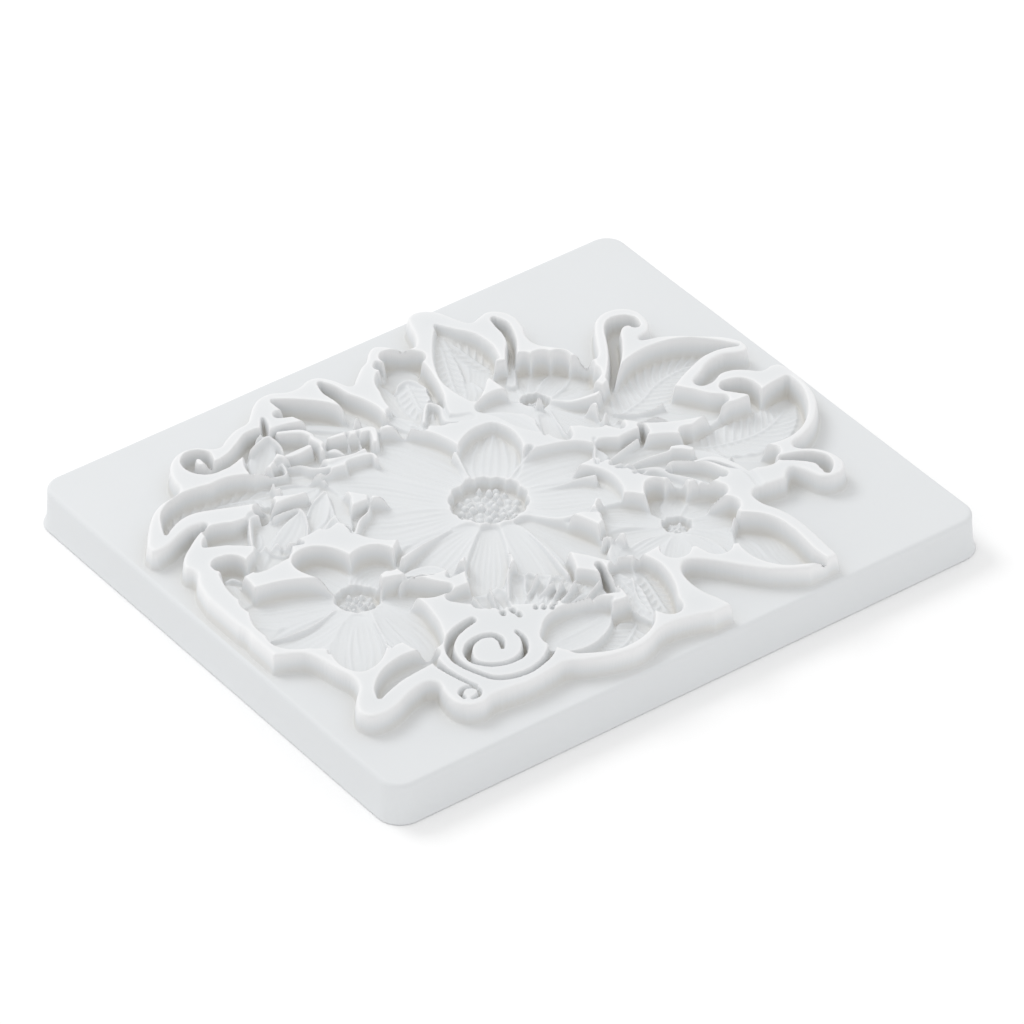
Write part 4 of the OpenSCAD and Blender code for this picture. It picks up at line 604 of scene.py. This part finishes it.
def floor_depth(k, number):
    """Depth below the rim over a stroke's floor."""
    t, v, side, along = k.t, k.v, k.side, k.along
    d = k.depth + k.tilt * v
    phase = number * PHASE_STEP
    # fine lines fade out towards both ends
    fade = np.clip(t * 6, 0, 1) * np.clip((1 - t) * 5, 0, 1)
    if k.kind == "petal":
        d -= 0.5 * np.abs(v) ** 2.6
        for m, spot in enumerate(PETAL_LINES):
            wave = 0.05 * np.sin(5 * t + m * 2 + phase)
            d -= (0.1 + 0.06 * math.sin(m * 5 + phase)) * bump(v - spot - wave, 0.06) * fade
        d += 0.04 * np.cos(v * 23 + phase) * fade
    elif k.kind == "vein":
        d -= 0.45 * np.abs(v) ** 2.2
        beat = (along + 0.25 * k.half - 0.8 * np.abs(side)) / VEIN_PITCH
        rib = bump((beat - np.floor(beat)) - 0.5, 0.17)
        d -= 0.3 * rib * np.clip(np.abs(side) / 0.6, 0, 1) * fade
        d -= 0.4 * bump(side, 0.28) * fade
    elif k.kind == "leaf":
        d -= 0.4 * np.abs(v) ** 2.2
        d -= 0.18 * bump(side - 0.2, 0.4) * fade
        d += 0.035 * np.cos(side * 8 + along * 0.6) * fade
    elif k.kind == "bud":
        d -= 0.45 * np.abs(v) ** 2
        for spot in BUD_LINES:
            d -= 0.08 * bump(v - spot, 0.12) * fade
    elif k.kind == "tube":
        d -= 0.8 * np.abs(v) ** 2
        d -= 0.4 * bump(t - 0.75, 0.2)
    elif k.kind == "chan":
        d -= 0.25 * np.abs(v) ** 2
    elif k.kind == "pit":
        mid = k.line[len(k.line) // 2]
        reach = k.line[:, 2].max()
        knobs, size = LARGE_STAMENS if reach > LARGE_CENTRE else SMALL_STAMENS
        for m in range(knobs):
            r = (reach - 0.8) * math.sqrt((m + 0.5) / knobs)
            a = m * GOLDEN_ANGLE + phase
            cx, cy = mid[0] + r * math.cos(a), mid[1] + r * math.sin(a)
            far = np.hypot(k.x - cx, k.y - cy) / size
            high = 0.9 + 0.45 * math.sin(m * 7.1)
            if m % 3 == 0:
                knob = (high + 0.5) * np.clip(1 - far, 0, 1)
            else:
                knob = high * np.sqrt(np.clip(1 - far**2, 0, 1))
            d = np.minimum(d, k.depth - knob)
    return d


def step(s, slope):
    """Share of the way down a wall at distance s inside its edge, for a wall slope times as wide."""
    return ease(np.clip((s - EDGE_OUT * slope) / ((EDGE_IN - EDGE_OUT) * slope), 0, 1))


def rim(s):
    """Height above the slab at distance s inside the rim's outer edge."""
    g = np.clip(s + FOOT_R, 0, FOOT_R)
    foot = FOOT_R - np.sqrt(np.clip(FOOT_R**2 - g**2, 0, None))
    wall = FOOT_R + (RIM_H - FOOT_R - RIM_R) * np.clip(s / WALL_W, 0, 1)
    g = np.clip(s - WALL_W, 0, RIM_R)
    top = RIM_H - RIM_R + np.sqrt(np.clip(RIM_R**2 - (RIM_R - g) ** 2, 0, None))
    return np.where(s <= -FOOT_R, 0.0, np.where(s <= 0, foot, np.where(s <= WALL_W, wall, top)))


def snap(s, levels, share=0.85):
    """Moves each distance most of the way to the nearest level, where one is near."""
    levels = np.array(levels)
    i = np.clip(np.searchsorted(levels, s), 1, len(levels) - 1)
    low, high = levels[i - 1], levels[i]
    goal = np.where(s - low < high - s, low, high)
    near = np.abs(goal - s) < 0.6 * STEP
    return np.where(near, s + share * (goal - s), s)


def surface():
    """Points of the fine grid in millimetres, and how far each is inside the rim's outer edge."""
    out_s, out_x, out_y = outline_distance()
    out_s = np.minimum(out_s, FROM_EDGE - EDGE_GAP)
    hollow = np.zeros(GX.shape)
    own_s = np.full(GX.shape, 9.0)
    under, own_f = np.zeros(GX.shape), np.zeros(GX.shape)
    own_x, own_y = np.zeros(GX.shape), np.zeros(GX.shape)
    own_slope = np.ones(GX.shape)
    for number, patch in enumerate(PATCHES):
        k = Stroke(*patch)
        f = floor_depth(k, number)
        w = k.w
        slope = SLOPES.get(k.kind, 1.0)
        on = k.s > EDGE_OUT * slope - 0.08
        before = hollow[w]
        after = before + (f - before) * step(k.s, slope)
        for whole, part in (
            (own_s, k.s), (under, before), (own_f, f), (own_x, k.gx), (own_y, k.gy),
            (hollow, after), (own_slope, slope)
        ):
            whole[w] = np.where(on, part, whole[w])
    # grid points near a steep wall move onto its top, middle and foot, so that its edges are clean
    px, py = GX.copy(), GY.copy()
    on_wall = (own_s < EDGE_IN + 0.15) & (np.abs(own_f - under) > 0.25) & (own_slope == 1)
    wall_lines = [EDGE_OUT, (EDGE_OUT + EDGE_IN) / 2, EDGE_IN]
    in_s = np.where(on_wall, snap(own_s, wall_lines), own_s)
    px += (in_s - own_s) * own_x
    py += (in_s - own_s) * own_y
    hollow = np.where(on_wall, under + (own_f - under) * step(in_s, 1.0), hollow)
    rim_lines = [-FOOT_R, -FOOT_R / 2, 0] + [WALL_W + RIM_R * part / 4 for part in range(5)]
    at_rim = (out_s > -0.45) & (out_s < 1.0) & ~on_wall
    new_s = np.where(at_rim, snap(out_s, rim_lines), out_s)
    px += (new_s - out_s) * out_x
    py += (new_s - out_s) * out_y
    z = SLAB_Z + rim(new_s) - np.where(out_s > 0.3, hollow, 0)
    return np.stack([px, py, z], -1), out_s


def blurred(a, reach, times=2):
    """Mean over a square of 2 * reach + 1 grid points, a few times over."""
    for _ in range(times):
        for axis in (0, 1):
            pad = [(0, 0), (0, 0)]
            pad[axis] = (reach + 1, reach)
            c = np.cumsum(np.pad(a, pad, mode="edge"), axis=axis)
            n = a.shape[axis]
            hi = np.take(c, range(2 * reach + 1, 2 * reach + 1 + n), axis=axis)
            lo = np.take(c, range(0, n), axis=axis)
            a = (hi - lo) / (2 * reach + 1)
    return a


def eased(p, share, times):
    """Light smoothing of the grid's points, borders kept."""
    for _ in range(times):
        q = p.copy()
        q[1:-1, 1:-1] = (p[:-2, 1:-1] + p[2:, 1:-1] + p[1:-1, :-2] + p[1:-1, 2:]) / 4
        p = p + share * (q - p)
    return p


def no_corner_touch(label, allowed):
    """Relabels cells until no label meets itself only at a corner."""
    for _ in range(40):
        a, b = label[:-1, :-1], label[:-1, 1:]
        c, d = label[1:, :-1], label[1:, 1:]
        bad1 = (a == d) & (b != a) & (c != a)
        bad2 = (b == c) & (a != b) & (d != b)
        if not (bad1.any() or bad2.any()):
            break
        for bad, j0, i0, j1, i1 in ((bad1, 0, 0, 0, 1), (bad2, 0, 1, 0, 0)):
            for j, i in np.argwhere(bad):
                value = label[j + j0, i + i0]
                for spot in ((j + j1, i + i1), (j + 1 - j1, i + 1 - i1)):
                    if allowed(label[spot], value):
                        label[spot] = value
                        break
    return label


def corners(cells):
    """Which grid corners touch one of a set of cells."""
    used = np.zeros((cells.shape[0] + 1, cells.shape[1] + 1), bool)
    for rows in (slice(0, -1), slice(1, None)):
        for cols in (slice(0, -1), slice(1, None)):
            used[rows, cols] |= cells
    return used


def cell_quads(ids, cells):
    """A quad of vertex numbers for each of a set of cells, facing up."""
    j, i = np.nonzero(cells)
    return np.stack([ids[j, i], ids[j, i + 1], ids[j + 1, i + 1], ids[j + 1, i]], 1)


def border_loops(cells):
    """Closed loops of grid corners round a set of cells, the cells on their left."""
    ny, nx = cells.shape
    c = np.pad(cells, 1)
    nxt = {}
    for dj, di, start, end in (
        (-1, 0, (0, 0), (0, 1)),
        (0, 1, (0, 1), (1, 1)),
        (1, 0, (1, 1), (1, 0)),
        (0, -1, (1, 0), (0, 0)),
    ):
        edge = cells & ~c[1 + dj : 1 + dj + ny, 1 + di : 1 + di + nx]
        for j, i in np.argwhere(edge):
            nxt[(j + start[0], i + start[1])] = (j + end[0], i + end[1])
    loops = []
    while nxt:
        start = next(iter(nxt))
        loop, at = [start], nxt.pop(start)
        while at != start:
            loop.append(at)
            at = nxt.pop(at)
        loops.append(loop)
    return loops


def add_mesh(name, verts, faces, creased, loop_normals=None, attribute=None):
    """A smooth mesh object, its edges sharp between creased vertices."""
    mesh = bpy.data.meshes.new(name)
    mesh.from_pydata(verts, [], faces)
    mesh.validate()
    marked = np.zeros(len(mesh.vertices), bool)
    marked[creased] = True
    ends = np.empty(len(mesh.edges) * 2, np.int32)
    mesh.edges.foreach_get("vertices", ends)
    mesh.edges.foreach_set("use_edge_sharp", marked[ends].reshape(-1, 2).all(1))
    # the hollow attribute holds how much painted shade or painted highlight the colour gets at each vertex
    if attribute is not None:
        layer = mesh.attributes.new("hollow", "FLOAT", "POINT")
        layer.data.foreach_set("value", np.asarray(attribute, np.float32))
    mesh.polygons.foreach_set("use_smooth", [True] * len(mesh.polygons))
    if loop_normals is not None:
        mesh.normals_split_custom_set(loop_normals)
    ob = bpy.data.objects.new(name, mesh)
    bpy.context.scene.collection.objects.link(ob)
    return ob


points, rim_s = surface()
points = eased(points, 0.5, 3)
beyond = ease(np.clip((-FOOT_R - BLEND_GAP - rim_s) / BLEND_W, 0, 1))
beyond = np.where(FROM_EDGE < 1.01 * COARSE, 1.0, beyond)
points += beyond[..., None] * (np.stack([GX, GY, np.full(GX.shape, SLAB_Z)], -1) - points)
height = points[..., 2]

# Upright normals of the whole surface, so that pieces shade alike where they meet.
normals = np.cross(np.gradient(points, axis=1), np.gradient(points, axis=0))
normals /= np.linalg.norm(normals, axis=-1)[..., None]
normals[beyond >= 1] = (0, 0, 1)

# How hollow the surface is at each point, from -1 on a crest to 1 in a deep hollow. It sets the painted
# shade in hollows, also on the slab next to the rim's foot, and the painted highlight on crests.
broad = np.clip((blurred(height, WIDE) - height) / 3.2, -1, 1)
local = np.clip((blurred(height, NEAR) - height) / 1.2, -1, 1)
crest = np.clip((height - blurred(height, CREST)) / 0.35, 0, 1)
painted_shade_value = broad * 0.5 + (local * 0.4 - 0.2 * crest) * np.clip((rim_s + 0.3) / 0.3, 0, 1)

# Which coarse cells hold ornament, and which region each fine cell is in.
fine_in = rim_s > -FINE_OUT
corner_in = fine_in[:-1, :-1] | fine_in[1:, :-1] | fine_in[:-1, 1:] | fine_in[1:, 1:]
coarse = corner_in.reshape(NY, SUB, NX, SUB).any((1, 3)).astype(int)
coarse[0, :] = coarse[-1, :] = 0
coarse[:, 0] = coarse[:, -1] = 0
coarse = no_corner_touch(coarse, lambda old, new: new == 1)
mid_x, mid_y = np.meshgrid((xs[1:] + xs[:-1]) / 2, (ys[1:] + ys[:-1]) / 2)
power = np.stack([(mid_x - x) ** 2 + (mid_y - y) ** 2 - w for _, x, y, w in SEEDS])
label = power.argmin(0) + 1
ornament = np.kron(coarse, np.ones((SUB, SUB), int)) > 0
label = np.where(ornament, label, 0)
label = no_corner_touch(label, lambda old, new: old != 0 and new != 0)


def region_mesh(name, cells):
    """A closed solid over a set of fine cells: the surface on top, upright sides, a flat bottom."""
    used = corners(cells)
    number = np.full(used.shape, -1)
    number[used] = np.arange(used.sum())
    top = points[used] * MM
    quads = cell_quads(number, cells)
    faces = quads.tolist()
    corner_normal = [normals[used][quads.ravel()]]
    low, bottoms, creased = [], [], []
    for loop in border_loops(cells):
        lj, li = np.array(loop).T
        ids = number[lj, li].tolist()
        creased.extend(ids)
        first, n = len(top) + len(low), len(loop)
        p = points[lj, li].copy()
        p[:, 2] = SEAT_Z
        low.extend((p * MM).tolist())
        for q in range(n):
            r = (q + 1) % n
            faces.append([ids[r], ids[q], first + q, first + r])
        bottoms.append(list(range(first + n - 1, first - 1, -1)))
    # a zero normal leaves the side's own one in place
    corner_normal.append(np.zeros(((len(faces) - len(quads)) * 4, 3)))
    for bottom in bottoms:
        faces.append(bottom)
        corner_normal.append(np.tile([[0.0, 0.0, -1.0]], (len(bottom), 1)))
    verts = np.concatenate([top, np.array(low)])
    value = np.concatenate([painted_shade_value[used], np.zeros(len(low))])
    return add_mesh(name, verts.tolist(), faces, creased, np.concatenate(corner_normal).tolist(), value)


def round_corner(x, y):
    """The flat part's square grid with its corners bent round."""
    ox, oy = FLAT_X - FLAT_R, FLAT_Y - FLAT_R
    u, v = np.clip((np.abs(x) - ox) / FLAT_R, 0, 1), np.clip((np.abs(y) - oy) / FLAT_R, 0, 1)
    inside = (u > 0) & (v > 0)
    nx = np.sign(x) * (ox + FLAT_R * u * np.sqrt(1 - v**2 / 2))
    ny = np.sign(y) * (oy + FLAT_R * v * np.sqrt(1 - u**2 / 2))
    return np.where(inside, nx, x), np.where(inside, ny, y)


def side_rings():
    """Rings of the slab's side from the top edge to the foot: reach, height, share of the wander."""
    rings = []
    for a in np.radians(range(9, 91, 9)):
        rings.append((EDGE_R * math.sin(a), SLAB_Z - EDGE_R * (1 - math.cos(a)), 1))
    top_side = SLAB_Z - EDGE_R
    for share in SIDE_SHARES:
        reach = EDGE_R + (DRAFT - FLARE) * share**1.3 + FLARE * share**5
        rings.append((reach, top_side * (1 - share), 1))
    for back, z in FOOT_ROUND:
        rings.append((EDGE_R + DRAFT - back, z, 0))
    return rings


def slab_mesh(name):
    """The slab, with the seat that the ornament regions stand in."""
    cx = np.linspace(-FLAT_X, FLAT_X, NX + 1)
    cy = np.linspace(-FLAT_Y, FLAT_Y, NY + 1)
    mx, my = round_corner(*np.meshgrid(cx, cy))
    verts = np.stack([mx, my, np.full(mx.shape, SLAB_Z)], -1).reshape(-1, 3).tolist()
    ids = np.arange(len(verts)).reshape(mx.shape)
    faces = cell_quads(ids, coarse == 0).tolist()
    n_top = len(faces)
    # seat: its floor and its upright sides
    seat = coarse == 1
    used = corners(seat)
    low = np.full(mx.shape, -1)
    low[used] = len(verts) + np.arange(used.sum())
    verts += np.stack([mx[used], my[used], np.full(used.sum(), SEAT_Z)], -1).tolist()
    faces += cell_quads(low, seat).tolist()
    creased = []
    for loop in border_loops(seat):
        for a, b in zip(loop, loop[1:] + loop[:1]):
            creased.append(int(ids[a]))
            faces.append([int(ids[a]), int(ids[b]), int(low[b]), int(low[a])])
    n_flat = len(faces)
    # drafted sides, ring by ring, down to the foot and the underside
    ej, ei = np.array(border_loops(np.ones((NY, NX), bool))[0]).T
    p = np.stack([mx[ej, ei], my[ej, ei]], 1)
    inner = np.array([FLAT_X - FLAT_R, FLAT_Y - FLAT_R])
    out = p - np.clip(p, -inner, inner)
    out /= np.hypot(out[:, 0], out[:, 1])[:, None]
    turn = np.arctan2(p[:, 1], p[:, 0])
    wave = WANDER * (np.sin(turn * 7 + 1) + np.sin(turn * 17 + 2) * 0.6 - 1.6)
    last = ids[ej, ei]
    for reach, z, loose in side_rings():
        wander = wave * loose * min(1, reach / EDGE_R) * min(1, z / WANDER_FADE)
        q = p + out * (reach + wander)[:, None]
        ring = len(verts) + np.arange(len(q))
        verts += np.column_stack([q, np.full(len(q), z)]).tolist()
        faces += np.stack([last, ring, np.roll(ring, -1), np.roll(last, -1)], 1).tolist()
        last = ring
    faces.append([int(v) for v in last[::-1]])
    # painted shade on the slab, darker next to the rim's foot, from the same values as the ornament
    value = np.zeros(len(verts))
    value[: mx.size] = painted_shade_value[::SUB, ::SUB].ravel()
    ob = add_mesh(name, (np.array(verts) * MM).tolist(), faces, creased, None, value)
    smooth = np.ones(len(ob.data.polygons), bool)
    smooth[-1] = False
    smooth[n_top:n_flat] = False
    ob.data.polygons.foreach_set("use_smooth", smooth)
    return ob


def silicone():
    """Matt white silicone, cool on flat parts; its colour holds painted light: a painted highlight on the
    crests and painted shade in the hollows, warmer where light has to pass through the casting.
    """
    m = bpy.data.materials.new("silicone")
    m.use_nodes = True
    tree = m.node_tree
    bsdf = tree.nodes["Principled BSDF"]
    link = tree.links.new

    def add(kind, values=None):
        node = tree.nodes.new(kind)
        for socket, value in (values or {}).items():
            node.inputs[socket].default_value = value
        return node

    place = add("ShaderNodeTexCoord")
    cloud = add("ShaderNodeTexNoise", {"Scale": 45, "Detail": 3})
    link(place.outputs["Object"], cloud.inputs["Vector"])
    # painted shade and painted highlight: the hollow attribute places each point on the ramp from the crests'
    # painted highlight through the flat white to the hollows' painted warm shade
    depth = add("ShaderNodeAttribute")
    depth.attribute_name = "hollow"
    ramp = add("ShaderNodeValToRGB")
    ramp.color_ramp.elements[0].position = 0.0
    ramp.color_ramp.elements[0].color = CREST_HIGHLIGHT_COLOUR
    ramp.color_ramp.elements[1].position = 1.0
    ramp.color_ramp.elements[1].color = HOLLOW_SHADE_COLOUR
    ramp.color_ramp.elements.new(FLAT_PLACE).color = FLAT_COLOUR
    shift = add("ShaderNodeMath", {1: HOLLOW_SHARE, 2: FLAT_PLACE})
    shift.operation = "MULTIPLY_ADD"
    link(depth.outputs["Fac"], shift.inputs[0])
    link(shift.outputs[0], ramp.inputs["Fac"])
    tint = add("ShaderNodeMix")
    tint.data_type = "RGBA"
    tint.blend_type = "MULTIPLY"
    tint.inputs["Factor"].default_value = 1
    soft = add("ShaderNodeMapRange", {"From Min": 0.3, "From Max": 0.7, "To Min": 0.985, "To Max": 1.0})
    link(cloud.outputs["Fac"], soft.inputs["Value"])
    link(ramp.outputs["Color"], tint.inputs["A"])
    link(soft.outputs["Result"], tint.inputs["B"])
    link(tint.outputs["Result"], bsdf.inputs["Base Color"])
    rough = add("ShaderNodeMapRange", {"To Min": 0.46, "To Max": 0.6})
    link(cloud.outputs["Fac"], rough.inputs["Value"])
    link(rough.outputs["Result"], bsdf.inputs["Roughness"])
    bsdf.inputs["IOR"].default_value = 1.41
    bsdf.inputs["Specular IOR Level"].default_value = 0.35
    grain = add("ShaderNodeTexNoise", {"Scale": 900, "Detail": 2})
    link(place.outputs["Object"], grain.inputs["Vector"])
    relief = add("ShaderNodeBump", {"Strength": 0.06, "Distance": 0.0003})
    link(grain.outputs["Fac"], relief.inputs["Height"])
    link(relief.outputs["Normal"], bsdf.inputs["Normal"])
    return m


SILICONE = silicone()


def finish_piece(ob, node):
    ob.data.materials.append(SILICONE)
    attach(ob, "root")
    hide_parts(node)


finish_piece(slab_mesh("slab_casting"), "base_slab")
for number, (region, *_rest) in enumerate(SEEDS):
    finish_piece(region_mesh(region + "_relief", label == number + 1), region)

# Floor: white paper just under the mould.
REACH = 3.0
FLOOR_GAP = 0.0001
floor_mesh = bpy.data.meshes.new("floor")
square = [(-REACH, -REACH, 0), (REACH, -REACH, 0), (REACH, REACH, 0), (-REACH, REACH, 0)]
floor_mesh.from_pydata(square, [], [(0, 1, 2, 3)])
floor = bpy.data.objects.new("floor", floor_mesh)
floor.location.z = cad_low.z - FLOOR_GAP
bpy.context.scene.collection.objects.link(floor)
paper = bpy.data.materials.new("paper")
paper.use_nodes = True
paper_inputs = paper.node_tree.nodes["Principled BSDF"].inputs
paper_inputs["Base Color"].default_value = (0.99, 0.99, 0.99, 1)
paper_inputs["Roughness"].default_value = 0.9
floor.data.materials.append(paper)

# Light: an even white surround and one soft lamp above the far long side.
SURROUND = 0.885
LAMP_PLACE, LAMP_SIZE, LAMP_POWER = (-0.15, 0.6, 0.75), 0.45, 2.2
world = bpy.data.worlds.new("studio")
bpy.context.scene.world = world
world.use_nodes = True
sky = world.node_tree.nodes["Background"].inputs
sky["Color"].default_value = (1, 1, 1, 1)
sky["Strength"].default_value = SURROUND

lamp_data = bpy.data.lights.new("key", "AREA")
lamp_data.shape = "DISK"
lamp_data.size = LAMP_SIZE
lamp_data.energy = LAMP_POWER
lamp = bpy.data.objects.new("key", lamp_data)
lamp.location = LAMP_PLACE
lamp.rotation_mode = "QUATERNION"
lamp.rotation_quaternion = (-Vector(LAMP_PLACE)).to_track_quat("-Z", "Y")
bpy.context.scene.collection.objects.link(lamp)

# Camera: its direction and tilt in degrees, distance and aim in metres, lens in millimetres.
AZIMUTH, ELEVATION, ROLL, DISTANCE = -36.10, 37.37, -0.7, 1.29494
AIM = Vector((0.00409, 0.0045, 0))
SENSOR, LENS = 36, 275.32125
az, el, roll = (math.radians(v) for v in (AZIMUTH, ELEVATION, ROLL))
right = Vector((math.cos(az), math.sin(az), 0))
back = Vector((math.sin(az) * math.cos(el), -math.cos(az) * math.cos(el), math.sin(el)))
up = back.cross(right)
cam_right = math.cos(roll) * right + math.sin(roll) * up
cam_up = math.cos(roll) * up - math.sin(roll) * right
camera_data = bpy.data.cameras.new("camera")
camera_data.sensor_width = SENSOR
camera_data.lens = LENS
camera_data.clip_start, camera_data.clip_end = 0.05, 20
camera = bpy.data.objects.new("camera", camera_data)
facing = Matrix((cam_right, cam_up, back)).transposed().to_4x4()
camera.matrix_world = Matrix.Translation(AIM + back * DISTANCE) @ facing
bpy.context.scene.collection.objects.link(camera)
bpy.context.scene.camera = camera
bpy.context.scene.view_settings.view_transform = "Standard"
